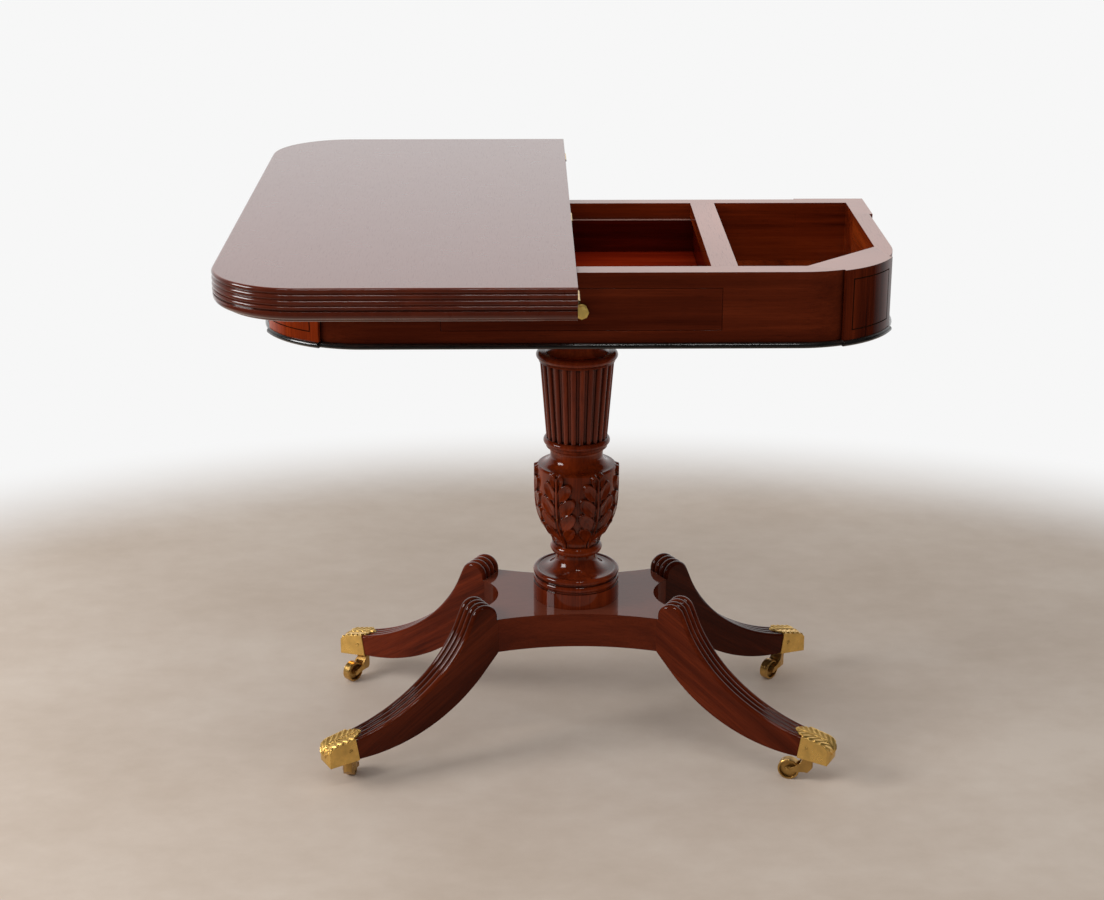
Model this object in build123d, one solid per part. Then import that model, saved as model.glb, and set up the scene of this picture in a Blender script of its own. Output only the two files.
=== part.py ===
from build123d import *
import os
from math import cos, radians, sin, tan

# A swivel-top games table on a reeded column and four sabre legs.
# The origin is on the floor below the column's axis, +Z is up, and the drawer faces -Y.

# Overall sizes of the top
table_height = 756.0
top_length = 868.0
leaf_width = 423.0
leaf_thickness = 20.7
top_corner_radius = 108.0
hinge_edge_setback = 10.5
slide_gap = 0.2
seam_gap = 0.4

# Edge mouldings of the two leaves
edge_reed_count = 3
reed_sink = 2.6
edge_bead_height = 4.4
edge_bead_sink = 1.2
quirk_sink = 3.0
quirk_height = 1.8
ovolo_sink = 0.6
ovolo_height = 10.3
ovolo_foot_sink = 8.0
ovolo_swell = 2.2
underside_step = 2.0
underside_sink = 14.0

# Fold hinges
hinge_axis_proud = 0.8
barrel_radius = 2.5
barrel_clearance = 0.3
hinge_length = 45.0
hinge_end_distance = 16.0
hinge_plate_thickness = 1.2
hinge_plate_width = 17.0
knuckle_share = 0.34
knuckle_gap = 0.3
hinge_pin_radius = 1.1
pin_clearance = 0.05

# Frieze box
frieze_length = 802.0
frieze_depth = 406.0
rail_height = 90.0
frieze_corner_radius = 130.0
front_rail_thickness = 30.0
back_rail_thickness = 22.0
end_rail_thickness = 22.0
block_proud = 4.5
block_first_angle = 24.0
block_last_angle = 66.0
back_block_length = 92.0
well_cant = 98.0
well_floor_thickness = 8.0

# Black bead below the frieze
bead_height = 7.4
bead_seat = 8.0

# Drawer opening, dividers and what carries the column
opening_width = 348.0
opening_height = 54.0
lower_strip_height = 16.0
divider_width = 33.0
partition_thickness = 20.0
partition_clearance = 0.5
bearer_thickness = 19.0
runner_width = 24.0
runner_gap = 0.5

# Drawer box
drawer_front_thickness = 20.0
drawer_clearance = 0.5
drawer_side_thickness = 8.0
drawer_side_drop = 1.0
drawer_lap = 12.0
drawer_back_clearance = 4.0
drawer_bottom_thickness = 5.0
drawer_bottom_height = 2.0
drawer_groove_depth = 3.0
knob_radius = 8.7
knob_length = 18.0
knob_neck_radius = 4.4
knob_base_radius = 7.2
knob_base_thickness = 2.4
knob_head_thickness = 8.0
knob_shank_radius = 2.6
knob_side_count = 8
knob_head_radius_shares = (0.60, 1.00, 1.00, 0.62)
knob_head_height_shares = (0.00, 0.30, 0.62, 1.00)

# Swivel of the top
pivot_board_width = 110.0
pivot_plate_radius = 30.0
pivot_plate_thickness = 3.0
pivot_bolt_radius = 6.0
pivot_clearance = 0.06
counterbore_radius = 15.0
counterbore_depth = 10.0
washer_radius = 12.5
washer_thickness = 1.5
nut_across_flats = 18.0
nut_thickness = 7.0
nut_gap = 0.2
bolt_end_recess = 0.6

# Platform
platform_top = 201.7
platform_thickness = 47.9
platform_half_length = 107.0
platform_half_depth = 89.0
platform_waist = 71.5
scallop_depth = 20.5

# Sabre legs, seen from the side: distances out from the butt face and heights
leg_angle = 28.0
leg_width = 46.0
leg_toe_width = 33.6
roll_radius = 19.0
roll_rise = 3.3
roll_angle = 160.0
upper_curve_radius = 204.9
upper_curve_angle = 32.0
lower_curve_radius = 265.8
lower_curve_angle = 26.0
belly_reach = 22.0
belly_slope_angle = 49.8
belly_radius = 246.6
belly_angle = 49.0
reed_count = 4
reed_depth = 3.4
reed_waste = 2.0
reed_station_counts = (8, 4, 4)
tongue_width = 14.0
tongue_height = 30.0
tongue_length = 20.0
tongue_clearance = 0.1

# Toe caps
cap_length = 38.4
cap_nose_reach = 3.0
cap_proud = 1.2
cap_wall = 3.0
cap_sole_fall = 3.8
cap_brow_length = 25.0
cap_nose_height = 16.0
toe_end_gap = 8.0
toe_clearance = 0.1
cap_screw_distance = 10.0
cap_screw_radius = 2.6
cap_screw_shank_radius = 1.4
cap_screw_length = 11.0
cap_screw_head = 1.0

# Casters
caster_distance = 217.0
caster_height = 36.4
caster_pad_radius = 7.0
caster_trail = 26.0
wheel_radius = 14.6
wheel_width = 12.6
wheel_rim_thickness = 2.6
wheel_web_width = 4.6
wheel_hub_radius = 4.6
wheel_bore_clearance = 0.05
rim_round = 1.0
axle_radius = 2.0
axle_head_radius = 3.2
axle_head_thickness = 1.0
arm_thickness = 2.6
arm_gap = 0.4
arm_end_radius = 4.2
horn_flange_radius = 7.5
horn_flange_thickness = 2.6
horn_boss_radius = 6.2
horn_boss_height = 23.2
horn_stem_radius = 3.0
horn_stem_length = 20.0
horn_stem_clearance = 0.06
horn_gap = 0.2
bridge_clearance = 1.2
arm_top_reach_share = 0.62
arm_top_rise_share = 0.75
arm_under_reach_share = 0.52
arm_under_rise_share = 0.10
caster_heading_angles = {"front_right": 162.0, "back_right": 227.0, "back_left": 228.0, "front_left": 85.0}

# Column: heights of its mouldings as drawn, bottom to top, and radii. The heights stretch together
# to fill the room between the platform and the bearer.
plinth_height = 21.8
plinth_radius = 59.0
base_groove_height = 2.2
base_groove_radius = 57.0
base_ring_height = 8.0
base_fillet_radius = 50.0
base_ring_small_height = 7.0
base_ring_swell_share = 0.42
scotia_height = 20.3
base_neck_radius = 27.4
base_neck_height = 4.0
base_spigot_radius = 21.0
base_spigot_clearance = 0.1

vase_ring_height = 14.0
vase_ring_radius = 35.6
vase_ring_swell_share = 0.5
vase_foot_radius = 29.5
vase_body_height = 113.5
vase_radius = 54.5
vase_swell_share = 0.60
vase_flank_radius_share = 0.56
vase_flank_height_share = 0.36
vase_lip_height = 2.0
vase_shoulder_radius = 51.5
neck_radius = 35.8
shoulder_height = 15.0
neck_height = 4.5
leaf_carving_count = 6
leaf_carving_relief = 3.8
leaf_carving_height_share = 0.92
leaf_carving_reach_share = 0.96
leaf_lobe_pairs = 4
leaf_notch_share = 0.74
leaf_lobe_swell_share = 0.30
leaf_lobe_reach_shares = (0.50, 0.93, 1.00, 0.86)
leaf_lobe_height_shares = (0.14, 0.36, 0.58, 0.79)

shaft_ring_height = 18.5
shaft_ring_radius = 45.2
shaft_ring_swell_share = 0.335
shaft_height = 99.0
shaft_foot_radius = 41.5
shaft_head_radius = 49.7
shaft_reed_count = 24
shaft_reed_depth = 3.0
collar_fillet_height = 6.0
collar_fillet_radius = 50.6
collar_height = 15.0
collar_radius = 54.6
collar_swell_share = 0.333

capital_neck_radius = 36.0
capital_cove = 15.0
capital_neck_height = 10.9
capital_flare_height = 22.0
abacus_radius = 62.0
abacus_thickness = 16.0
dowel_radius = 14.0
dowel_length = 26.0
dowel_clearance = 0.1
bearer_spigot_radius = 20.0
bearer_screw_radius = 2.5
bearer_screw_head_radius = 5.0
bearer_screw_length = 30.0
bearer_screw_circle = 42.0
bearer_screw_count = 4

# How far the middle of a hollow moulding is from its narrow end, as a share of its depth
hollow_share = 0.28

# Extra length of every cutting tool past the face that it cuts
overrun = 5.0

# Heights worked out from the sizes above
upper_leaf_bottom = table_height - leaf_thickness
lower_leaf_top = upper_leaf_bottom - seam_gap
lower_leaf_bottom = lower_leaf_top - leaf_thickness
frieze_top = lower_leaf_bottom - slide_gap
fold_axis_z = lower_leaf_top + seam_gap / 2
rail_bottom = frieze_top - rail_height
bead_bottom = rail_bottom - bead_height
opening_bottom = rail_bottom + lower_strip_height
opening_top = opening_bottom + opening_height
bearer_top = bead_bottom + bearer_thickness
platform_bottom = platform_top - platform_thickness

# Places in plan worked out from the sizes above
hinge_edge_x = -hinge_edge_setback
fold_axis_x = hinge_edge_x + hinge_axis_proud
leaf_outer_x = hinge_edge_x - leaf_width
pivot_x = (hinge_edge_x + leaf_outer_x) / 4
pivot_y = -pivot_x
frieze_half = frieze_length / 2
frieze_front = -frieze_depth / 2
frieze_back = frieze_depth / 2
inner_end = frieze_half - end_rail_thickness
inner_front = frieze_front + front_rail_thickness
inner_back = frieze_back - back_rail_thickness
corner_centre_x = frieze_half - frieze_corner_radius
corner_centre_y = frieze_front + frieze_corner_radius
cant_x = inner_end - well_cant
cant_y = inner_front + well_cant
partition_inner = opening_width / 2 + partition_clearance
divider_outer = partition_inner + partition_thickness
divider_inner = divider_outer - divider_width
corners = {"front_right": (1, -1), "back_right": (1, 1), "back_left": (-1, 1), "front_left": (-1, -1)}

# Drawer faces worked out from the sizes above
drawer_half = opening_width / 2 - drawer_clearance
drawer_low = opening_bottom + drawer_clearance
drawer_high = opening_top - drawer_clearance
drawer_side_high = drawer_high - drawer_side_drop
drawer_back_y = inner_back - drawer_back_clearance
drawer_inner = drawer_half - drawer_side_thickness
drawer_front_back = frieze_front + drawer_front_thickness
drawer_panel_low = drawer_low + drawer_bottom_height
drawer_panel_high = drawer_panel_low + drawer_bottom_thickness

# Levels of the column's joints and mouldings above the floor, bottom to top
column_heights = (
    plinth_height,
    base_groove_height,
    base_ring_height,
    base_groove_height,
    base_ring_small_height,
    scotia_height,
    base_neck_height,
    vase_ring_height,
    vase_body_height,
    shoulder_height,
    neck_height,
    shaft_ring_height,
    shaft_height,
    collar_fillet_height,
    collar_height,
    capital_cove,
    capital_neck_height,
    capital_flare_height,
    abacus_thickness,
)
column_stretch = (bead_bottom - platform_top) / sum(column_heights)
column_levels = [
    platform_top + column_stretch * sum(column_heights[:count]) for count in range(len(column_heights) + 1)
]
base_levels = column_levels[:8]
vase_levels = column_levels[7:12]
shaft_levels = column_levels[11:16]
capital_levels = column_levels[15:]
base_top = base_levels[-1]
vase_top = vase_levels[-1]
collar_top = shaft_levels[-1]
vase_ring_swell = vase_ring_swell_share * (vase_levels[1] - base_top)
shaft_ring_swell = shaft_ring_swell_share * (shaft_levels[1] - vase_top)
collar_swell = collar_swell_share * (collar_top - shaft_levels[3])


def box_between(x_span, y_span, z_span):
    """Box from the low to the high value on each axis, in any order."""
    low = [min(span) for span in (x_span, y_span, z_span)]
    size = [max(span) - min(span) for span in (x_span, y_span, z_span)]
    return Pos(*low) * Box(*size, align=(Align.MIN, Align.MIN, Align.MIN))


def rod(radius, z_low, z_high):
    """Upright cylinder on the Z axis."""
    return Pos(0, 0, (z_low + z_high) / 2) * Cylinder(radius, z_high - z_low)


def plate(edges, z_low, z_high):
    """Flat piece with the outline in plan that the edges make."""
    return Pos(0, 0, z_low) * extrude(make_face(edges), z_high - z_low)


def turn_arc(start, heading, radius, turn):
    """Arc that leaves start at a heading and turns left by turn degrees, or right if negative."""
    side = 1 if turn > 0 else -1

    def point_at(part):
        angle = radians(heading + turn * part)
        across = side * radius * (sin(angle) - sin(radians(heading)))
        along = side * radius * (cos(radians(heading)) - cos(angle))
        return (start[0] + across, start[1] + along)

    return ThreePointArc(start, point_at(0.5), point_at(1)), point_at(1)


def wire_of(edges):
    return Wire([edge.edge() for edge in edges])


def polyline(*points):
    """Straight edges through the points."""
    return [Line(first, second) for first, second in zip(points, points[1:])]


def mirrored_pair(piece):
    """The piece for the right-hand side and its mirror image for the left."""
    return {"right": piece, "left": mirror(piece, about=Plane.YZ)}


def group(solids):
    """Separate solids that share one node."""
    return Compound(children=[solid.solid() for solid in solids])


def turned(edges):
    """Turning about the Z axis from a closed half outline of radius and height."""
    return revolve(Plane.XZ * make_face(edges), Axis.Z)


def hollow(wide, narrow):
    """Hollow moulding on a turning, between two points of radius and height."""
    radius = narrow[0] + hollow_share * (wide[0] - narrow[0])
    return ThreePointArc(wide, (radius, wide[1] + hollow_share * (narrow[1] - wide[1])), narrow)


def bulge(radius, low, high, swell):
    """Half-round moulding on a turning, from low to high, swelling past the radius."""
    return ThreePointArc((radius, low), (radius + swell, (low + high) / 2), (radius, high))


# Folding top

def leaf_edge(start_x):
    """Moulded edge in plan, from one end of the hinge edge round to the other."""
    half = top_length / 2
    bend_x = leaf_outer_x + top_corner_radius
    bend_y = half - top_corner_radius
    first, _ = turn_arc((bend_x, half), 180, top_corner_radius, 90)
    second, _ = turn_arc((leaf_outer_x, -bend_y), 270, top_corner_radius, 90)
    outer = Line((leaf_outer_x, bend_y), (leaf_outer_x, -bend_y))
    edges = [Line((start_x, half), (bend_x, half)), first, outer, second]
    return edges + [Line((bend_x, -half), (start_x, -half))]


def leaf_blank(z_low):
    """Leaf with a straight hinge edge and two round outer corners."""
    half = top_length / 2
    edges = leaf_edge(hinge_edge_x) + [Line((hinge_edge_x, -half), (hinge_edge_x, half))]
    return plate(edges, z_low, z_low + leaf_thickness)


def moulded_leaf(z_low, profile):
    """Leaf whose edge is cut by the profile, given as edges of depth and height."""
    first = profile[0] @ 0
    last = profile[-1] @ 1
    closing = polyline(
        (last.X, last.Y),
        (last.X, leaf_thickness + overrun),
        (overrun, leaf_thickness + overrun),
        (overrun, -overrun),
        (first.X, -overrun),
        (first.X, first.Y),
    )
    start_x = hinge_edge_x + overrun
    start = Plane(origin=(start_x, top_length / 2, z_low), x_dir=(0, 1, 0), z_dir=(1, 0, 0))
    path = Pos(0, 0, z_low) * wire_of(leaf_edge(start_x))
    cutter = sweep(start * make_face(profile + closing), path=path)
    return leaf_blank(z_low) - cutter


def reeded_profile():
    """Half-round reeds, one above the other."""
    pitch = leaf_thickness / edge_reed_count
    edges = []
    for row in range(edge_reed_count):
        low = row * pitch
        edges.append(ThreePointArc((-reed_sink, low), (0, low + pitch / 2), (-reed_sink, low + pitch)))
    return edges


def ovolo_profile():
    """From the underside up: a set-back foot, a broad ovolo, a quirk and a small bead."""
    bead_foot = leaf_thickness - edge_bead_height
    bead_middle = leaf_thickness - edge_bead_height / 2
    quirk_foot = bead_foot - quirk_height
    ovolo_foot = quirk_foot - ovolo_height
    step_x = -(ovolo_foot_sink + underside_step)
    chord_x = -(ovolo_sink + ovolo_foot_sink) / 2
    foot_x = (step_x - underside_sink + underside_step) / 2
    return [
        ThreePointArc((-underside_sink, 0), (foot_x, ovolo_foot / 2), (step_x, ovolo_foot)),
        Line((step_x, ovolo_foot), (-ovolo_foot_sink, ovolo_foot)),
        ThreePointArc(
            (-ovolo_foot_sink, ovolo_foot),
            (chord_x + ovolo_swell, (ovolo_foot + quirk_foot) / 2 - ovolo_swell),
            (-ovolo_sink, quirk_foot),
        ),
        Line((-ovolo_sink, quirk_foot), (-quirk_sink, quirk_foot)),
        Line((-quirk_sink, quirk_foot), (-quirk_sink, bead_foot)),
        Line((-quirk_sink, bead_foot), (-edge_bead_sink, bead_foot)),
        ThreePointArc((-edge_bead_sink, bead_foot), (0, bead_middle), (-edge_bead_sink, leaf_thickness)),
    ]


def hinge_places():
    """Centres of the three fold hinges along the hinge edge."""
    end_place = top_length / 2 - hinge_end_distance - hinge_length / 2
    return (-end_place, 0, end_place)


def fold_rod(radius, y_low, y_high):
    """Cylinder on the fold axis."""
    length = y_high - y_low
    middle = (y_low + y_high) / 2
    return Pos(fold_axis_x, middle, fold_axis_z) * Rot(90, 0, 0) * Cylinder(radius, length)


def hinge_recesses(plate_low, plate_high):
    """Room in a leaf for the hinge plates and the barrels."""
    cuts = []
    for place in hinge_places():
        low = place - hinge_length / 2 - knuckle_gap
        high = place + hinge_length / 2 + knuckle_gap
        cuts.append(fold_rod(barrel_radius + barrel_clearance, low, high))
        span = (hinge_edge_x - hinge_plate_width, hinge_edge_x + overrun)
        cuts.append(box_between(span, (low, high), (plate_low, plate_high)))
    return cuts


def upper_leaf():
    recess = hinge_recesses(upper_leaf_bottom - overrun, upper_leaf_bottom + hinge_plate_thickness)
    return moulded_leaf(upper_leaf_bottom, reeded_profile()) - recess


def lower_leaf():
    leaf = moulded_leaf(lower_leaf_bottom, ovolo_profile())
    leaf -= hinge_recesses(lower_leaf_top - hinge_plate_thickness, lower_leaf_top + overrun)
    seat_top = lower_leaf_bottom + pivot_plate_thickness
    seat = rod(pivot_plate_radius + pivot_clearance, lower_leaf_bottom - overrun, seat_top)
    return leaf - Pos(pivot_x, pivot_y, 0) * seat


def knuckle_spans(place, upper):
    """The middle knuckle belongs to the upper plate and the outer two to the lower plate."""
    half = hinge_length / 2
    inner = half * knuckle_share - knuckle_gap / 2
    outer = inner + knuckle_gap
    if upper:
        return [(place - inner, place + inner)]
    return [(place - half, place - outer), (place + outer, place + half)]


def hinge_plate(place, upper):
    """Flat plate let into a leaf, with its knuckles on the fold axis."""
    side = 1 if upper else -1
    face = upper_leaf_bottom if upper else lower_leaf_top
    span_y = (place - hinge_length / 2, place + hinge_length / 2)
    leaf_x = (hinge_edge_x - hinge_plate_width + knuckle_gap, hinge_edge_x - barrel_radius)
    span_z = (face, face + side * hinge_plate_thickness)
    solid = box_between(leaf_x, span_y, span_z)
    for low, high in knuckle_spans(place, upper):
        solid += fold_rod(barrel_radius, low, high)
        solid += box_between((leaf_x[0], fold_axis_x), (low, high), span_z)
    bore = hinge_pin_radius + (pin_clearance if upper else 0)
    return solid - fold_rod(bore, span_y[0] - overrun, span_y[1] + overrun)


def hinge_pin(place):
    return fold_rod(hinge_pin_radius, place - hinge_length / 2, place + hinge_length / 2)


# Swivel under the lower leaf

def pivot_plate():
    top = lower_leaf_bottom + pivot_plate_thickness
    solid = rod(pivot_plate_radius, lower_leaf_bottom, top)
    bore = rod(pivot_bolt_radius, lower_leaf_bottom - overrun, top + overrun)
    return Pos(pivot_x, pivot_y, 0) * (solid - bore)


def pivot_bolt():
    bottom = opening_top + bolt_end_recess
    top = lower_leaf_bottom + pivot_plate_thickness
    return Pos(pivot_x, pivot_y, 0) * rod(pivot_bolt_radius, bottom, top)


def washer_top():
    return opening_top + counterbore_depth - nut_gap


def pivot_washer():
    low = washer_top() - washer_thickness
    bore = rod(pivot_bolt_radius, low - overrun, washer_top() + overrun)
    return Pos(pivot_x, pivot_y, 0) * (rod(washer_radius, low, washer_top()) - bore)


def pivot_nut():
    high = washer_top() - washer_thickness
    low = high - nut_thickness
    hexagon = RegularPolygon(nut_across_flats / 2, 6, major_radius=False)
    body = Pos(0, 0, low) * extrude(hexagon, nut_thickness)
    return Pos(pivot_x, pivot_y, 0) * (body - rod(pivot_bolt_radius, low - overrun, high + overrun))


def pivot_board():
    """Board across the frieze, over the drawer, that the swivel bolt turns in."""
    span_x = (-divider_inner, -divider_inner + pivot_board_width)
    board = box_between(span_x, (inner_front, inner_back), (opening_top, frieze_top))
    bore = rod(pivot_bolt_radius + pivot_clearance, opening_top - overrun, frieze_top + overrun)
    sink = rod(counterbore_radius, opening_top - overrun, opening_top + counterbore_depth)
    return board - Pos(pivot_x, pivot_y, 0) * (bore + sink)


# Frieze box

def corner_point(angle, radius):
    """Point round the front right corner, at an angle below the X axis."""
    x = corner_centre_x + radius * cos(radians(angle))
    return (x, corner_centre_y - radius * sin(radians(angle)))


def corner_arc(first, last, radius):
    middle = (first + last) / 2
    return ThreePointArc(*[corner_point(angle, radius) for angle in (first, middle, last)])


def front_rail():
    """Front rail, straight inside and rounding back at both ends, with the drawer opening."""
    radius = frieze_corner_radius
    right_end = corner_arc(90, block_last_angle, radius)
    joint = corner_point(block_last_angle, radius)
    left_joint = (-joint[0], joint[1])
    edges = [Line((-corner_centre_x, frieze_front), (corner_centre_x, frieze_front)), right_end]
    edges += polyline(joint, (cant_x, inner_front), (-cant_x, inner_front), left_joint)
    edges += [mirror(right_end, about=Plane.YZ)]
    rail = plate(edges, rail_bottom, frieze_top)
    half = opening_width / 2
    span_y = (frieze_front - overrun, inner_front + overrun)
    return rail - box_between((-half, half), span_y, (opening_bottom, opening_top))


def front_corner_block():
    """Proud rounded block at the front right corner, canted on the inside."""
    inner = frieze_corner_radius
    outer = inner + block_proud
    edges = [corner_arc(block_last_angle, block_first_angle, outer)]
    edges += polyline(
        corner_point(block_first_angle, outer),
        corner_point(block_first_angle, inner),
        (inner_end, cant_y),
        (cant_x, inner_front),
        corner_point(block_last_angle, inner),
        corner_point(block_last_angle, outer),
    )
    return plate(edges, rail_bottom, frieze_top)


def end_rail():
    """End rail of the right-hand side, rounding in to the front block."""
    post_front = frieze_back - back_block_length
    edges = [corner_arc(block_first_angle, 0, frieze_corner_radius)]
    edges += polyline(
        (frieze_half, corner_centre_y),
        (frieze_half, post_front),
        (inner_end, post_front),
        (inner_end, cant_y),
        corner_point(block_first_angle, frieze_corner_radius),
    )
    return plate(edges, rail_bottom, frieze_top)


def back_corner_post():
    """Square proud post at the back right corner."""
    post_front = frieze_back - back_block_length
    post_left = frieze_half - back_block_length
    outer_x = frieze_half + block_proud
    outer_y = frieze_back + block_proud
    edges = polyline(
        (outer_x, post_front),
        (outer_x, outer_y),
        (post_left, outer_y),
        (post_left, inner_back),
        (inner_end, inner_back),
        (inner_end, post_front),
        (outer_x, post_front),
    )
    return plate(edges, rail_bottom, frieze_top)


def back_rail():
    half = frieze_half - back_block_length
    return box_between((-half, half), (inner_back, frieze_back), (rail_bottom, frieze_top))


def divider():
    """Partition beside the drawer, with a wider head that the drawer slides under."""
    span_y = (inner_front, inner_back)
    wall = box_between((partition_inner, divider_outer), span_y, (rail_bottom, opening_top))
    head = box_between((divider_inner, divider_outer), span_y, (opening_top, frieze_top))
    return wall + head


def well_floor():
    edges = polyline(
        (divider_outer, inner_front),
        (cant_x, inner_front),
        (inner_end, cant_y),
        (inner_end, inner_back),
        (divider_outer, inner_back),
        (divider_outer, inner_front),
    )
    return plate(edges, rail_bottom, rail_bottom + well_floor_thickness)


def bead_profile():
    """Flat strip with a half-round nose that stands proud of the frieze, by depth and drop."""
    nose = ThreePointArc((0, 0), (bead_height / 2, bead_height / 2), (0, bead_height))
    return [nose] + polyline((0, bead_height), (-bead_seat, bead_height), (-bead_seat, 0), (0, 0))


def bead_strip(edges, start, outward, along):
    """Length of bead along a path, from a start point with its outward and running directions."""
    path = Pos(0, 0, rail_bottom) * wire_of(edges)
    place = Plane(origin=(*start, rail_bottom), x_dir=(*outward, 0), z_dir=(*along, 0))
    section = place * make_face(bead_profile())
    return sweep(section, path=path, transition=Transition.RIGHT)


def ebonised_bead():
    """Strips under the rails, the front corner blocks and the back posts."""
    radius = frieze_corner_radius
    proud = radius + block_proud
    post_front = frieze_back - back_block_length
    post_left = frieze_half - back_block_length
    joint = corner_point(block_last_angle, radius)
    right_end = corner_arc(90, block_last_angle, radius)
    left_end = right_end.mirror(Plane.YZ)
    last = radians(block_last_angle)
    first = radians(block_first_angle)
    straight = Line((-corner_centre_x, frieze_front), (corner_centre_x, frieze_front))
    front = bead_strip(
        [left_end, straight, right_end],
        (-joint[0], joint[1]),
        (-cos(last), -sin(last)),
        (sin(last), -cos(last)),
    )
    strips = [front]
    block = bead_strip(
        [corner_arc(block_last_angle, block_first_angle, proud)],
        corner_point(block_last_angle, proud),
        (cos(last), -sin(last)),
        (sin(last), cos(last)),
    )
    side = Line((frieze_half, corner_centre_y), (frieze_half, post_front))
    end = bead_strip(
        [corner_arc(block_first_angle, 0, radius), side],
        corner_point(block_first_angle, radius),
        (cos(first), -sin(first)),
        (sin(first), cos(first)),
    )
    outer_x = frieze_half + block_proud
    outer_y = frieze_back + block_proud
    round_post = polyline((outer_x, post_front), (outer_x, outer_y), (post_left, outer_y))
    post = bead_strip(round_post, (outer_x, post_front), (1, 0), (0, 1))
    for strip in (block, end, post):
        strips += list(mirrored_pair(strip).values())
    back = [Line((post_left, frieze_back), (-post_left, frieze_back))]
    strips.append(bead_strip(back, (post_left, frieze_back), (0, 1), (-1, 0)))
    return group(strips)


def column_bearer():
    """Board between the dividers, under the drawer, that the column's spigot enters."""
    span_x = (-partition_inner, partition_inner)
    board = box_between(span_x, (inner_front, inner_back), (bead_bottom, bearer_top))
    board -= rod(bearer_spigot_radius + dowel_clearance, bead_bottom - overrun, bearer_top + overrun)
    head_low = bearer_top - bearer_screw_radius
    for place in bearer_screw_places():
        board -= place * rod(bearer_screw_radius, bead_bottom - overrun, bearer_top + overrun)
        board -= place * rod(bearer_screw_head_radius, head_low, bearer_top + overrun)
    return board


def bearer_screw_places():
    """Places round the column, halfway between the front and the sides."""
    pitch = 360 / bearer_screw_count
    turns = [Rot(0, 0, pitch * (step + 0.5)) for step in range(bearer_screw_count)]
    return [turn * Pos(bearer_screw_circle, 0, 0) for turn in turns]


def bearer_screws():
    """Wood screws down through the bearer into the head of the column."""
    head_low = bearer_top - bearer_screw_radius
    screw = rod(bearer_screw_radius, bearer_top - bearer_screw_length, head_low)
    screw += rod(bearer_screw_head_radius, head_low, bearer_top)
    return group([place * screw for place in bearer_screw_places()])


def drawer_runner():
    span_x = (partition_inner - runner_width, partition_inner)
    return box_between(span_x, (inner_front, inner_back), (bearer_top, drawer_low - runner_gap))


# Drawer

def drawer_front():
    """Flush front, lapped at both ends over the sides and bored for the knob."""
    span_y = (frieze_front, drawer_front_back)
    board = box_between((-drawer_half, drawer_half), span_y, (drawer_low, drawer_high))
    for side in (-1, 1):
        span_x = (side * drawer_inner, side * (drawer_half + overrun))
        span_y = (drawer_front_back - drawer_lap, drawer_front_back + overrun)
        board -= box_between(span_x, span_y, (drawer_low - overrun, drawer_side_high))
    groove = (drawer_front_back - drawer_groove_depth, drawer_front_back + overrun)
    board -= box_between((-drawer_inner, drawer_inner), groove, (drawer_panel_low, drawer_panel_high))
    bore = Pos(0, drawer_front_back, (drawer_low + drawer_high) / 2) * Rot(90, 0, 0)
    bore *= Cylinder(knob_shank_radius, 2 * (drawer_front_thickness + overrun))
    return board - bore


def drawer_side():
    span_y = (drawer_front_back - drawer_lap, drawer_back_y)
    side = box_between((drawer_inner, drawer_half), span_y, (drawer_low, drawer_side_high))
    groove_x = (drawer_inner - overrun, drawer_inner + drawer_groove_depth)
    groove_y = (drawer_front_back - drawer_groove_depth, drawer_back_y + overrun)
    return side - box_between(groove_x, groove_y, (drawer_panel_low, drawer_panel_high))


def drawer_back():
    span_y = (drawer_back_y - drawer_side_thickness, drawer_back_y)
    return box_between((-drawer_inner, drawer_inner), span_y, (drawer_panel_high, drawer_side_high))


def drawer_bottom():
    half = drawer_inner + drawer_groove_depth
    span_y = (drawer_front_back - drawer_groove_depth, drawer_back_y)
    return box_between((-half, half), span_y, (drawer_panel_low, drawer_panel_high))


def knob_head():
    """Faceted head of the knob, from its neck out to its face."""
    start = knob_length - knob_head_thickness
    faces = []
    for radius, height in zip(knob_head_radius_shares, knob_head_height_shares):
        level = start + height * knob_head_thickness
        faces.append(Pos(0, 0, level) * RegularPolygon(radius * knob_radius, knob_side_count))
    return loft(faces, ruled=True)


def drawer_knob():
    """Faceted knob on a hollow round neck, with a shank through the front."""
    head_start = knob_length - knob_head_thickness
    edges = polyline(
        (0, -drawer_front_thickness),
        (knob_shank_radius, -drawer_front_thickness),
        (knob_shank_radius, 0),
        (knob_base_radius, 0),
        (knob_base_radius, knob_base_thickness / 2),
    )
    edges += [hollow((knob_base_radius, knob_base_thickness / 2), (knob_neck_radius, head_start))]
    edges += polyline(
        (knob_neck_radius, head_start),
        (knob_neck_radius, knob_length - knob_head_thickness / 2),
        (0, knob_length - knob_head_thickness / 2),
        (0, -drawer_front_thickness),
    )
    middle = (drawer_low + drawer_high) / 2
    return Pos(0, frieze_front, middle) * Rot(90, 0, 0) * (turned(edges) + knob_head())


# Column

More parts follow.
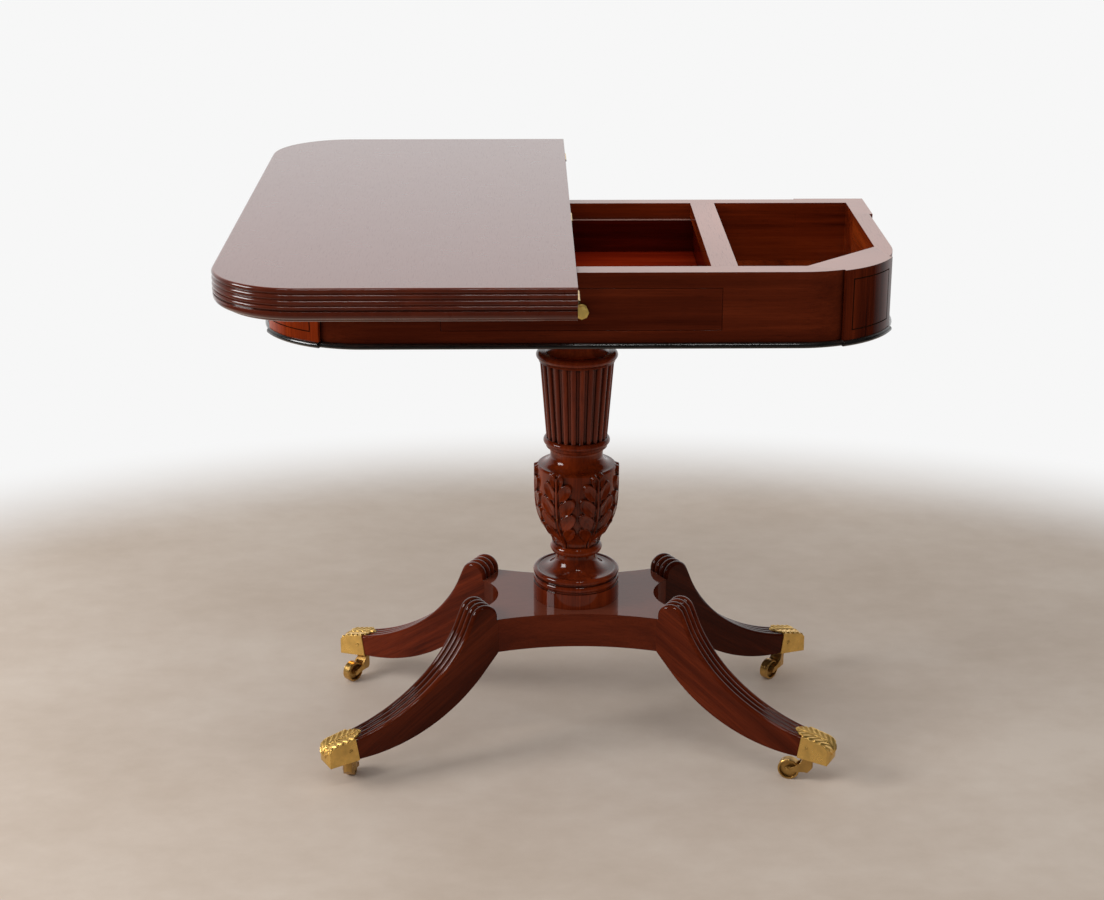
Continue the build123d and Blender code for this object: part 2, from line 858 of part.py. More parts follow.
def column_base():
    """Round plinth, two rings and a scotia, with a spigot through the platform."""
    _, z_plinth, z_ring, z_ring_top, z_small, z_small_top, z_neck, _ = base_levels
    swell = plinth_radius - base_groove_radius
    scotia = hollow((base_fillet_radius, z_small_top), (base_neck_radius, z_neck))
    edges = polyline(
        (0, platform_bottom),
        (base_spigot_radius, platform_bottom),
        (base_spigot_radius, platform_top),
        (plinth_radius, platform_top),
        (plinth_radius, z_plinth),
        (base_groove_radius, z_plinth),
        (base_groove_radius, z_ring),
    )
    edges += [bulge(base_groove_radius, z_ring, z_ring_top, swell)]
    edges += polyline((base_groove_radius, z_ring_top), (base_groove_radius - swell, z_ring_top))
    edges += polyline((base_groove_radius - swell, z_ring_top), (base_groove_radius - swell, z_small))
    rounding = ThreePointArc(
        (base_groove_radius - swell, z_small),
        (plinth_radius, z_small + (z_small_top - z_small) * base_ring_swell_share),
        (base_fillet_radius + swell, z_small_top),
    )
    edges += [rounding]
    edges += [Line((base_fillet_radius + swell, z_small_top), (base_fillet_radius, z_small_top)), scotia]
    edges += polyline((base_neck_radius, z_neck), (base_neck_radius, base_top), (0, base_top))
    edges += [Line((0, base_top), (0, platform_bottom))]
    return turned(edges) - dowel_hole(base_top)


def dowel(level):
    """Dowel below a joint of the column, reaching up into the piece that it belongs to."""
    return rod(dowel_radius, level - dowel_length, level + overrun)


def dowel_hole(level):
    """Hole for the dowel of the piece above a joint."""
    return rod(dowel_radius + dowel_clearance, level - dowel_length - dowel_clearance, level + overrun)


def vase_flank(grow):
    """Outside of the vase from foot to lip, grown outwards for the carving."""
    _, foot, lip, _, _ = vase_levels
    swell_z = foot + vase_swell_share * (lip - foot)
    low = vase_foot_radius + grow
    high = vase_radius + grow
    middle_radius = low + vase_flank_radius_share * (high - low)
    middle_z = foot + vase_flank_height_share * (swell_z - foot)
    return [
        ThreePointArc((low, foot), (middle_radius, middle_z), (high, swell_z)),
        Line((high, swell_z), (high, lip - vase_lip_height)),
    ]


def carved_leaf_outline():
    """Half outline of a lobed leaf, from the stalk up to the tip, as one curve for each lobe."""
    _, foot, lip, _, _ = vase_levels
    height = leaf_carving_height_share * (lip - foot)
    reach = leaf_carving_reach_share * vase_radius * sin(radians(180 / leaf_carving_count))
    edges = []
    point = (0, foot)
    for lobe in range(leaf_lobe_pairs):
        out = reach * leaf_lobe_reach_shares[lobe]
        low = foot + height * leaf_lobe_height_shares[lobe]
        rise = height / (2 * leaf_lobe_pairs + 1)
        end = (out * leaf_notch_share, low + rise)
        pull = (2 * out - (point[0] + end[0]) / 2, low + rise * leaf_lobe_swell_share)
        edges.append(Bezier(point, pull, end))
        point = end
    edges.append(Line(point, (0, foot + height)))
    return edges


def carved_leaf():
    """One leaf of the band round the vase, standing proud by the relief."""
    half = carved_leaf_outline()
    other = [mirror(edge, about=Plane.YZ) for edge in half]
    blade = extrude(Plane.XZ * make_face(Curve() + half + other), vase_radius + overrun)
    _, foot, lip, _, _ = vase_levels
    rim_z = lip - vase_lip_height
    inner = vase_foot_radius / 2
    outline = vase_flank(leaf_carving_relief)
    outline += polyline(
        (vase_radius + leaf_carving_relief, rim_z),
        (inner, rim_z),
        (inner, foot),
        (vase_foot_radius + leaf_carving_relief, foot),
    )
    return blade & turned(outline)


def column_vase():
    """Vase with a ring below, a cavetto neck above and a band of carved leaves."""
    _, foot, lip, shoulder, _ = vase_levels
    ring_inner = vase_ring_radius - vase_ring_swell
    cove = hollow((vase_shoulder_radius, lip), (neck_radius, shoulder))
    lip_radius = vase_shoulder_radius + vase_lip_height / 2
    edges = polyline((0, base_top), (ring_inner, base_top))
    edges += [bulge(ring_inner, base_top, foot, vase_ring_swell)]
    edges += polyline((ring_inner, foot), (vase_foot_radius, foot))
    edges += vase_flank(0)
    edges += polyline((vase_radius, lip - vase_lip_height), (lip_radius, lip), (vase_shoulder_radius, lip))
    edges += [cove]
    edges += polyline((neck_radius, shoulder), (neck_radius, vase_top), (0, vase_top), (0, base_top))
    vase = turned(edges) + dowel(base_top)
    leaf = carved_leaf()
    for step in range(leaf_carving_count):
        vase += Rot(0, 0, 360 * (step + 0.5) / leaf_carving_count) * leaf
    return vase - dowel_hole(vase_top)


def scalloped_face(radius, z_level):
    """Outline of the reeded shaft at one height: as many outward arcs as there are reeds."""
    valley = radius - shaft_reed_depth
    step = 360 / shaft_reed_count
    edges = []
    for reed in range(shaft_reed_count):
        angles = [radians(step * (reed + part)) for part in (0, 0.5, 1)]
        radii = (valley, radius, valley)
        points = [(r * cos(a), r * sin(a)) for r, a in zip(radii, angles)]
        edges.append(ThreePointArc(*points))
    return Pos(0, 0, z_level) * make_face(edges)


def column_shaft():
    """Tapering shaft with convex reeds, a fat ring below and a collar above."""
    _, shaft_start, shaft_end, collar_low, _ = shaft_levels
    ring_inner = shaft_ring_radius - shaft_ring_swell
    collar_inner = collar_radius - collar_swell
    lower = polyline((0, vase_top), (ring_inner, vase_top))
    lower += [bulge(ring_inner, vase_top, shaft_start, shaft_ring_swell)]
    lower += polyline((ring_inner, shaft_start), (0, shaft_start), (0, vase_top))
    upper = polyline((0, shaft_end), (collar_fillet_radius, shaft_end), (collar_fillet_radius, collar_low))
    upper += polyline((collar_fillet_radius, collar_low), (collar_inner, collar_low))
    upper += [bulge(collar_inner, collar_low, collar_top, collar_swell)]
    upper += polyline((collar_inner, collar_top), (0, collar_top), (0, shaft_end))
    faces = [scalloped_face(shaft_foot_radius, shaft_start), scalloped_face(shaft_head_radius, shaft_end)]
    shaft = loft(faces, ruled=True) + turned(lower) + turned(upper) + dowel(vase_top)
    return shaft - dowel_hole(collar_top)


def column_capital():
    """Neck that flares into a round abacus under the bearer."""
    _, cove_top, flare_low, abacus_low, _ = capital_levels
    collar_inner = collar_radius - collar_swell
    abacus_swell = (bead_bottom - abacus_low) / 2
    edge_radius = abacus_radius - abacus_swell
    flare_radius = edge_radius + abacus_swell / 2
    edges = polyline((0, collar_top), (collar_inner, collar_top))
    edges += [hollow((collar_inner, collar_top), (capital_neck_radius, cove_top))]
    edges += [Line((capital_neck_radius, cove_top), (capital_neck_radius, flare_low))]
    edges += [hollow((flare_radius, abacus_low), (capital_neck_radius, flare_low))]
    edges += [Line((flare_radius, abacus_low), (edge_radius, abacus_low))]
    edges += [bulge(edge_radius, abacus_low, bead_bottom, abacus_swell)]
    edges += polyline(
        (edge_radius, bead_bottom),
        (bearer_spigot_radius, bead_bottom),
        (bearer_spigot_radius, bearer_top),
        (0, bearer_top),
        (0, collar_top),
    )
    capital = turned(edges) + dowel(collar_top)
    for place in bearer_screw_places():
        capital -= place * rod(bearer_screw_radius, bearer_top - bearer_screw_length, bead_bottom + overrun)
    return capital


# Platform and legs

def leg_place(corner):
    """Moves a leg from its own frame, running along +X from its butt face, to its corner."""
    side_x, side_y = corners[corner]
    angle = leg_angle if side_y > 0 else -leg_angle
    butt_x = platform_half_length + leg_width / 2 * sin(radians(leg_angle))
    butt_y = platform_half_depth - leg_width / 2 * cos(radians(leg_angle))
    heading = angle if side_x > 0 else 180 - angle
    return Pos(side_x * butt_x, side_y * butt_y, 0) * Rot(0, 0, heading)


def platform():
    """Thick platform with hollowed long sides, scalloped ends and a canted seat for each leg."""
    seat_x = platform_half_length + leg_width * sin(radians(leg_angle))
    seat_y = platform_half_depth - leg_width * cos(radians(leg_angle))
    edges = []
    for side in (-1, 1):
        corner = (platform_half_length, side * platform_half_depth)
        edges.append(ThreePointArc((-corner[0], corner[1]), (0, side * platform_waist), corner))
        end = (side * seat_x, seat_y)
        waist = (side * (seat_x - scallop_depth), 0)
        edges.append(ThreePointArc(end, waist, (side * seat_x, -seat_y)))
        for flip in (-1, 1):
            cant = (side * platform_half_length, flip * platform_half_depth)
            edges.append(Line(cant, (side * seat_x, flip * seat_y)))
    slab = plate(edges, platform_bottom, platform_top)
    hole_radius = base_spigot_radius + base_spigot_clearance
    slab -= rod(hole_radius, platform_bottom - overrun, platform_top + overrun)
    for corner in corners:
        slab -= leg_place(corner) * leg_tongue(tongue_clearance)
    return slab


def leg_tongue(grow):
    """Tongue on the leg's butt face that enters the platform."""
    middle = (platform_bottom + platform_top) / 2
    span_x = (-tongue_length - grow, overrun)
    half_height = tongue_height / 2 + grow
    half_width = tongue_width / 2 + grow
    return box_between(span_x, (-half_width, half_width), (middle - half_height, middle + half_height))


def crest_arcs():
    """Top edge of the leg: the roll, the upper curve and the lower curve, each as radius and turn."""
    roll = (roll_radius, -roll_angle)
    return [roll, (upper_curve_radius, upper_curve_angle), (lower_curve_radius, lower_curve_angle)]


def leg_crest(grow):
    """Top edge of the leg from the platform to the toe cap, moved outwards by grow."""
    point = (-grow, platform_top + roll_rise)
    heading = 90
    edges = [Line((-grow, platform_top), point)]
    for radius, turn in crest_arcs():
        edge, point_after = turn_arc(point, heading, radius + grow if turn < 0 else radius - grow, turn)
        edges.append(edge)
        point = point_after
        heading += turn
    return edges, point, heading


def leg_belly():
    """Under edge of the leg, straight from the platform and then hollow to the toe cap."""
    start = (0, platform_bottom)
    bend = (belly_reach, platform_bottom - belly_reach * tan(radians(belly_slope_angle)))
    curve, end = turn_arc(bend, -belly_slope_angle, belly_radius, belly_angle)
    return [Line(start, bend), curve], end


def half_width_at(distance, inner):
    """Half of the leg's width at a distance from the butt face, narrowing evenly to the toe."""
    _, end, _ = leg_crest(0)
    share = distance / end[0]
    return (leg_width + (leg_toe_width - leg_width) * share) / 2 - inner


def leg_plan(start, stop, inner, z_low, z_high):
    """Wedge in plan that gives the leg its even taper in width."""
    first = half_width_at(start, inner)
    last = half_width_at(stop, inner)
    edges = polyline((start, -first), (stop, -last), (stop, last), (start, first), (start, -first))
    return plate(edges, z_low, z_high)


def reed_section(place, heading):
    """Face across the crest that leaves the reeds standing, wider than the leg."""
    half = half_width_at(place[0], 0)
    pitch = 2 * half / reed_count
    edges = [Line((-half - overrun, reed_depth), (-half, reed_depth))]
    for reed in range(reed_count):
        valley = -half + reed * pitch
        crown = (valley + pitch / 2, 0)
        edges.append(ThreePointArc((valley, reed_depth), crown, (valley + pitch, reed_depth)))
    edges += polyline(
        (half, reed_depth),
        (half + overrun, reed_depth),
        (half + overrun, -overrun),
        (-half - overrun, -overrun),
        (-half - overrun, reed_depth),
    )
    across = (-cos(radians(heading)), 0, -sin(radians(heading)))
    return Plane(origin=(place[0], 0, place[1]), x_dir=(0, 1, 0), z_dir=across) * make_face(edges)


def reed_cutter():
    """Waste over the reeds, lofted along the crest so that the reeds narrow with the leg."""
    edges, end, heading = leg_crest(0)
    sections = [reed_section((0, platform_top), 90)]
    now = 90
    for edge, (_, turn), stations in zip(edges[1:], crest_arcs(), reed_station_counts):
        for step in range(stations):
            point = edge @ (step / stations)
            sections.append(reed_section((point.X, point.Y), now + turn * step / stations))
        now += turn
    past = (end[0] + overrun * cos(radians(heading)), end[1] + overrun * sin(radians(heading)))
    return loft(sections + [reed_section(end, heading), reed_section(past, heading)])


def cap_rear():
    """Top and bottom ends of the slanted line where the toe cap begins."""
    _, crest_end, _ = leg_crest(0)
    _, belly_end = leg_belly()
    return crest_end, belly_end


def toe_tenon(grow):
    """Reduced toe inside the cap, grown for the cap's hollow."""
    top, bottom = cap_rear()
    _, _, heading = leg_crest(0)
    inner = cap_wall - cap_proud - grow
    reach = cap_length - toe_end_gap + grow
    fall = tan(radians(heading))
    back = -overrun
    points = (
        (top[0] + back, top[1] - inner + back * fall),
        (top[0] + reach, top[1] - inner + reach * fall),
        (top[0] + reach, bottom[1] + inner),
        (bottom[0] + back, bottom[1] + inner),
    )
    side = extrude(Plane.XZ * make_face(polyline(*points, points[0])), leg_width, both=True)
    wedge = leg_plan(bottom[0] + back, top[0] + reach + overrun, inner, 0, platform_top)
    return side & wedge


def leg():
    """Sabre leg with flat sides, four reeds over the crest and a tongue at the platform."""
    crest, crest_end, _ = leg_crest(reed_waste)
    _, top, _ = leg_crest(0)
    belly, bottom = leg_belly()
    edges = polyline((0, platform_bottom), (0, platform_top), (-reed_waste, platform_top)) + crest
    edges += polyline(crest_end, top, bottom) + belly
    blank = extrude(Plane.XZ * make_face(edges), leg_width, both=True)
    blank &= leg_plan(-2 * reed_waste, crest_end[0] + overrun, 0, 0, lower_leaf_bottom)
    blank -= reed_cutter()
    solid = blank + toe_tenon(0) + leg_tongue(0)
    solid -= stem_hole()
    for place in cap_screw_places():
        solid -= place * cap_screw()
    return solid


def stem_top():
    return caster_height + horn_stem_length


def stem_hole():
    """Hole up through the cap and the toe that the caster's stem turns in."""
    hole = rod(horn_stem_radius + horn_stem_clearance, 0, stem_top() + horn_gap)
    return Pos(caster_distance, 0, 0) * hole


def toe_cap():
    """Cast cap that slips over the toe, with a brow, a rounded nose and a seat for the caster."""
    top, bottom = cap_rear()
    _, _, heading = leg_crest(0)
    fall = tan(radians(heading))
    proud = cap_proud
    slant = (top[0] - bottom[0]) / (top[1] - bottom[1])
    rear_top = (top[0] + proud * slant, top[1] + proud)
    brow = (top[0] + cap_brow_length, top[1] + proud + cap_brow_length * fall)
    low = bottom[1] - proud
    rear_low = (bottom[0] - proud * slant, low)
    front_x = top[0] + cap_length - proud
    front = (front_x, low - cap_sole_fall)
    nose = (front_x + cap_nose_reach - proud, low + cap_nose_height)
    edges = polyline(rear_low, rear_top, brow) + [ThreePointArc(brow, nose, front)]
    edges += polyline(front, rear_low)
    side = extrude(Plane.XZ * make_face(edges), leg_width, both=True)
    rear_half = half_width_at(bottom[0], -proud)
    front_half = half_width_at(front_x, -proud)
    back_x = bottom[0] - overrun
    outline = polyline((front_x, -front_half), (back_x, -rear_half), (back_x, rear_half))
    outline += [Line((back_x, rear_half), (front_x, front_half))]
    outline += [ThreePointArc((front_x, front_half), (front_x + cap_nose_reach, 0), (front_x, -front_half))]
    cap = side & plate(outline, 0, platform_top)
    cap += Pos(caster_distance, 0, 0) * rod(caster_pad_radius, caster_height, bottom[1])
    cap -= toe_tenon(toe_clearance)
    cap -= stem_hole()
    for place in cap_screw_places():
        cap -= place * cap_screw()
    return cap


def cap_screw_places():
    """Mid-height of each cheek, near the rear edge, with +Z pointing out of the cheek."""
    top, bottom = cap_rear()
    x = (top[0] + bottom[0]) / 2 + cap_screw_distance
    z = (top[1] + bottom[1]) / 2
    out = half_width_at(x, -cap_proud)
    return [Pos(x, side * out, z) * Rot(-side * 90, 0, 0) for side in (-1, 1)]


def cap_screw():
    """Round-headed screw through the cheek into the toe."""
    head = rod(cap_screw_radius, -cap_screw_head, cap_screw_head / 2)
    return head + rod(cap_screw_shank_radius, -cap_screw_length, -cap_screw_head)


# Casters

def caster_place(corner):
    """Moves a caster from its pivot at the origin, trailing along +X, to its leg."""
    pivot = leg_place(corner) * Pos(caster_distance, 0, 0)
    return Pos(pivot.position.X, pivot.position.Y, 0) * Rot(0, 0, caster_heading_angles[corner])


def cross_rod(radius, low, high):
    """Cylinder along the wheel's axle."""
    length = high - low
    return Pos(caster_trail, (low + high) / 2, wheel_radius) * Rot(90, 0, 0) * Cylinder(radius, length)


def arm_outer():
    return wheel_width / 2 + arm_gap + arm_thickness


def caster_horn():
    """Swivel stem, boss and the two curved arms that hold the wheel."""
    flange_low = caster_height - horn_gap - horn_flange_thickness
    boss_low = caster_height - horn_boss_height
    bridge_end = caster_trail - wheel_radius - bridge_clearance
    rise = wheel_radius + arm_end_radius
    outer = ThreePointArc(
        (horn_boss_radius, flange_low),
        (caster_trail * arm_top_reach_share, rise + arm_end_radius * arm_top_rise_share),
        (caster_trail, rise),
    )
    low_end = (caster_trail, wheel_radius - arm_end_radius)
    tip = ThreePointArc((caster_trail, rise), (caster_trail + arm_end_radius, wheel_radius), low_end)
    inner = ThreePointArc(
        low_end,
        (caster_trail * arm_under_reach_share, wheel_radius - arm_end_radius * arm_under_rise_share),
        (0, boss_low),
    )
    edges = [outer, tip, inner] + polyline((0, boss_low), (-horn_boss_radius, boss_low + horn_boss_radius))
    edges += polyline((-horn_boss_radius, boss_low + horn_boss_radius), (-horn_boss_radius, flange_low))
    edges += polyline((-horn_boss_radius, flange_low), (horn_boss_radius, flange_low))
    side = extrude(Plane.XZ * make_face(edges), arm_outer(), both=True)
    half = arm_outer()
    gap_half = wheel_width / 2 + arm_gap
    stop = caster_trail + arm_end_radius
    outline = [ThreePointArc((0, -horn_boss_radius), (-horn_boss_radius, 0), (0, horn_boss_radius))]
    outline += polyline(
        (0, horn_boss_radius),
        (bridge_end, half),
        (stop, half),
        (stop, -half),
        (bridge_end, -half),
        (0, -horn_boss_radius),
    )
    yoke = side & plate(outline, 0, caster_height)
    yoke -= box_between((bridge_end, stop + overrun), (-gap_half, gap_half), (0, caster_height))
    horn = yoke + rod(horn_flange_radius, flange_low, caster_height - horn_gap)
    horn += rod(horn_stem_radius, flange_low, stem_top())
    return horn - cross_rod(axle_radius, -half - overrun, half + overrun)


def caster_axle():
    """Pin riveted over at both arms."""
    half = arm_outer()
    pin = cross_rod(axle_radius, -half, half)
    for side in (-1, 1):
        face = side * half
        end = face + side * axle_head_thickness
        pin += cross_rod(axle_head_radius, min(face, end), max(face, end))
    return pin


def caster_wheel():
    """Dished wheel: a broad rim, a thin web and a hub that runs on the axle."""
    half = wheel_width / 2
    web = wheel_web_width / 2
    bore = axle_radius + wheel_bore_clearance
    inner = wheel_radius - wheel_rim_thickness
    points = (
        (bore, -half),
        (wheel_hub_radius, -half),
        (wheel_hub_radius, -web),
        (inner, -web),
        (inner, -half),
        (wheel_radius - rim_round, -half),
        (wheel_radius, -half + rim_round),
        (wheel_radius, half - rim_round),
        (wheel_radius - rim_round, half),
        (inner, half),
        (inner, web),
        (wheel_hub_radius, web),
        (wheel_hub_radius, half),
        (bore, half),
        (bore, -half),
    )
    return Pos(caster_trail, 0, wheel_radius) * Rot(90, 0, 0) * turned(polyline(*points))


# Every piece of the table by its node name

def all_pieces():
    pieces = {
        "platform": platform(),
        "column_base": column_base(),
        "column_vase": column_vase(),
        "column_shaft": column_shaft(),
        "column_capital": column_capital(),
        "column_bearer": column_bearer(),
        "bearer_screws": bearer_screws(),
        "front_rail": front_rail(),
        "back_rail": back_rail(),
        "ebonised_bead": ebonised_bead(),
        "pivot_board": pivot_board(),
        "pivot_plate": pivot_plate(),
        "pivot_bolt": pivot_bolt(),
        "pivot_washer": pivot_washer(),
        "pivot_nut": pivot_nut(),
        "lower_leaf": lower_leaf(),
        "upper_leaf": upper_leaf(),
        "drawer_front": drawer_front(),
        "drawer_back": drawer_back(),
        "drawer_bottom": drawer_bottom(),
        "drawer_knob": drawer_knob(),
    }
    handed = {
        "front_block": front_corner_block(),
        "end_rail": end_rail(),
        "back_post": back_corner_post(),
        "divider": divider(),
        "well_floor": well_floor(),
        "drawer_runner": drawer_runner(),
        "drawer_side": drawer_side(),
    }
    for name, piece in handed.items():
        for side, copy in mirrored_pair(piece).items():
            pieces[f"{name}_{side}"] = copy
    places = hinge_places()
    pieces["hinge_upper_plates"] = group([hinge_plate(place, True) for place in places])
    pieces["hinge_lower_plates"] = group([hinge_plate(place, False) for place in places])
    pieces["hinge_pins"] = group([hinge_pin(place) for place in places])
    one_leg = leg()
    one_cap = toe_cap()
    horn = caster_horn()
    axle = caster_axle()
    wheel = caster_wheel()
    screws = []
    for corner in corners:
        pieces[f"leg_{corner}"] = leg_place(corner) * one_leg
        pieces[f"toe_cap_{corner}"] = leg_place(corner) * one_cap
        screws += [leg_place(corner) * place * cap_screw() for place in cap_screw_places()]
        pieces[f"caster_horn_{corner}"] = caster_place(corner) * horn
        pieces[f"caster_axle_{corner}"] = caster_place(corner) * axle
        pieces[f"caster_wheel_{corner}"] = caster_place(corner) * wheel
    pieces["toe_cap_screws"] = group(screws)
    return pieces


os.makedirs("parts", exist_ok=True)
for node, piece in all_pieces().items():
    export_step(piece, f"parts/{node}.step")
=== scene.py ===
from math import atan2, cos, degrees, exp, hypot, pi, radians, sin, sqrt

import bpy
from mathutils import Euler, Matrix, Vector


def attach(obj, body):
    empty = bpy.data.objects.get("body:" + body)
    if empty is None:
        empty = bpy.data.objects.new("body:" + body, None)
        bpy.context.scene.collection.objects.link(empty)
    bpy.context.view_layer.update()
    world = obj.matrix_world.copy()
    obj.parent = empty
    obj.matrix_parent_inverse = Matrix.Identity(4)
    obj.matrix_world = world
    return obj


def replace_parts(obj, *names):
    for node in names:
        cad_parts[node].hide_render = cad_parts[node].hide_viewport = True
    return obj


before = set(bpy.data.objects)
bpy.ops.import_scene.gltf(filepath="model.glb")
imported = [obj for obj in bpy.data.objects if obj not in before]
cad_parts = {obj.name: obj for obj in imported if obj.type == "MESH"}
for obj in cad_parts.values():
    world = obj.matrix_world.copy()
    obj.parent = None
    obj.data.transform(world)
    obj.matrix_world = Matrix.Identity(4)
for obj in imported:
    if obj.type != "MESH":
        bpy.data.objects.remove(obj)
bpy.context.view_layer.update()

scene = bpy.context.scene
collection = scene.collection

# Sizes that the pieces below follow, in millimetres and degrees
leaf_gap_low, leaf_gap_high = 734.9, 735.3
hinge_places = (-395.5, 0.0, 395.5)
block_centre = Vector((271.0, -73.0, 0.0))
block_radius = 134.5
block_arc_first, block_arc_last = 24.0, 66.0
rail_bottom, frieze_top = 624.0, 714.0
leg_angle = 28.0
leg_butt = (117.80, 68.69)
vase_low, vase_foot, vase_lip, vase_shoulder, vase_top = 267.2, 281.2, 394.7, 409.7, 414.2
corners = {"front_right": (1, -1), "back_right": (1, 1), "back_left": (-1, 1), "front_left": (-1, -1)}
x_way, y_way, z_way = (1, 0, 0), (0, 1, 0), (0, 0, 1)


# Shader nodes

hollow_samples, edge_samples = 6, 4


def add(tree, kind, inputs=None, **settings):
    """Add a shader node, with its inputs given as values or as the sockets that feed them."""
    item = tree.nodes.new(kind)
    for key, value in settings.items():
        setattr(item, key, value)
    for key, value in (inputs or {}).items():
        socket = item.inputs[key]
        if isinstance(value, bpy.types.NodeSocket):
            tree.links.new(value, socket)
        else:
            socket.default_value = value
    return item


def new_material(name):
    material = bpy.data.materials.new(name)
    material.use_nodes = True
    material.node_tree.nodes.clear()
    return material, material.node_tree


def scaled(tree, vector, scale, shift=(0.0, 0.0, 0.0)):
    """The vector stretched along its axes and moved."""
    node = add(tree, "ShaderNodeVectorMath", {0: vector, 1: scale, 2: shift}, operation="MULTIPLY_ADD")
    return node.outputs[0]


def noise(tree, vector, detail=2.0, roughness=0.5, distortion=0.0):
    settings = {"Detail": detail, "Roughness": roughness, "Distortion": distortion}
    return add(tree, "ShaderNodeTexNoise", {"Vector": vector, "Scale": 1.0, **settings}).outputs["Fac"]


def even_noise(tree, coords, shift, scale, detail, roughness):
    """Noise of one scale in every direction."""
    return noise(tree, scaled(tree, coords, (scale, scale, scale), shift), detail, roughness)


def ramp(tree, value, stops):
    """Colour ramp with the stops given as place and colour."""
    item = add(tree, "ShaderNodeValToRGB", {"Fac": value})
    elements = item.color_ramp.elements
    while len(elements) > 1:
        elements.remove(elements[-1])
    elements[0].position, elements[0].color = stops[0][0], (*stops[0][1], 1.0)
    for place, colour in stops[1:]:
        elements.new(place).color = (*colour, 1.0)
    return item.outputs["Color"]


def spread(tree, value, low, high, out_low=0.0, out_high=1.0):
    """The value taken from one range to another, held at its ends."""
    inputs = {"Value": value, "From Min": low, "From Max": high, "To Min": out_low, "To Max": out_high}
    return add(tree, "ShaderNodeMapRange", inputs).outputs["Result"]


def maths(tree, operation, first, second=0.5):
    return add(tree, "ShaderNodeMath", {0: first, 1: second}, operation=operation).outputs[0]


def weighted(tree, values, shares):
    """Sum of the values, each times its share."""
    parts = [maths(tree, "MULTIPLY", value, share) for value, share in zip(values, shares)]
    total = parts[0]
    for part in parts[1:]:
        total = maths(tree, "ADD", total, part)
    return total


def blend(tree, kind, factor, first, second):
    inputs = {0: factor, 6: first, 7: second}
    return add(tree, "ShaderNodeMix", inputs, data_type="RGBA", blend_type=kind).outputs[2]


def finish_material(tree, colour, roughness, normal, **constants):
    inputs = {"Base Color": colour, "Roughness": roughness, "Normal": normal}
    for key, value in constants.items():
        inputs[key.replace("_", " ").title().replace("Ior", "IOR")] = value
    shader = add(tree, "ShaderNodeBsdfPrincipled", inputs)
    add(tree, "ShaderNodeOutputMaterial", {"Surface": shader.outputs[0]})
    return shader


def hollows(tree, distance, low, high, own=True):
    """0 in narrow recesses and 1 on open surfaces, with the recesses of the piece's own mesh or of all."""
    inputs = {"Distance": distance}
    item = add(tree, "ShaderNodeAmbientOcclusion", inputs, samples=hollow_samples, only_local=own)
    return spread(tree, item.outputs["AO"], low, high)


def soft_edge(tree, radius):
    """Surface normal with the arrises rounded over."""
    return add(tree, "ShaderNodeBevel", {"Radius": radius}, samples=edge_samples).outputs["Normal"]


# Wood

# Each noise of the grain: scales along and across the grain, detail, roughness and distortion
broad_grain = (1.6, 15.0, 3.0, 0.55, 0.6)
band_grain = (2.6, 62.0, 3.0, 0.6, 0.3)
fine_grain = (9.0, 420.0, 3.0, 0.6, 0.0)
pore_grain = (55.0, 1500.0, 1.0, 0.5, 0.0)
grain_shares = (0.45, 0.35, 0.20)
# Each even noise: scale, then detail and roughness
blotch_noise, wear_noise, wave_noise = (4.5, 2.0, 0.5), (38.0, 3.0, 0.6), (26.0, 1.0, 0.5)
# Range of a noise that matters, and how far a seed moves the noises along each axis
noise_low, noise_high = 0.3, 0.7
seed_steps = (1.37, 2.11, 0.73)
tone_middle, tone_width = 0.5, 0.16
pore_low, pore_high, pore_shade, pore_roughness = 0.60, 0.70, 0.3, 0.08
patch_darker, patch_lighter, wear_share = 0.12, 0.10, 0.12
# How far a face turns up, from 0 to 1, where the painted sheen and the upward polish start and are full
sheen_rise_low, sheen_rise_high, sheen_share = 0.7, 0.98, 0.8
coat_rise_low, coat_rise_high = 0.3, 0.9
# Painted shade in a piece's own recesses, then painted shadow along its joints with other pieces: width in
# metres, and the openness at which it is darkest and at which it is clear
hollow_shade_reach, hollow_shade_colour = (0.007, 0.35, 0.95), (0.006, 0.0015, 0.001, 1.0)
gap_shadow_reach, gap_shadow_colour = (0.010, 0.55, 0.92), (0.003, 0.001, 0.0006, 1.0)
pore_height, fine_height, grain_depth, wave_depth = -0.5, 0.35, 0.0002, 0.0006
wood_arris, polish_roughness = 0.0008, 0.06


def grain_turn(grain):
    """Angles that turn the grain's direction onto the X axis."""
    along = Vector(grain).normalized()
    side = along.cross(Vector(z_way))
    side = side.normalized() if side.length > 0.1 else Vector(y_way)
    return tuple(Matrix((along, side, along.cross(side))).to_euler("XYZ"))


def grain_noises(tree, coords, grain, shift):
    """The broad, band, fine and pore noises, drawn out along the grain."""
    inputs = {"Vector": coords, "Rotation": grain_turn(grain)}
    turned = add(tree, "ShaderNodeMapping", inputs, vector_type="POINT").outputs[0]
    layers = []
    for long_scale, cross_scale, *settings in (broad_grain, band_grain, fine_grain, pore_grain):
        drawn_out = scaled(tree, turned, (long_scale, cross_scale, cross_scale), shift)
        layers.append(noise(tree, drawn_out, *settings))
    return layers


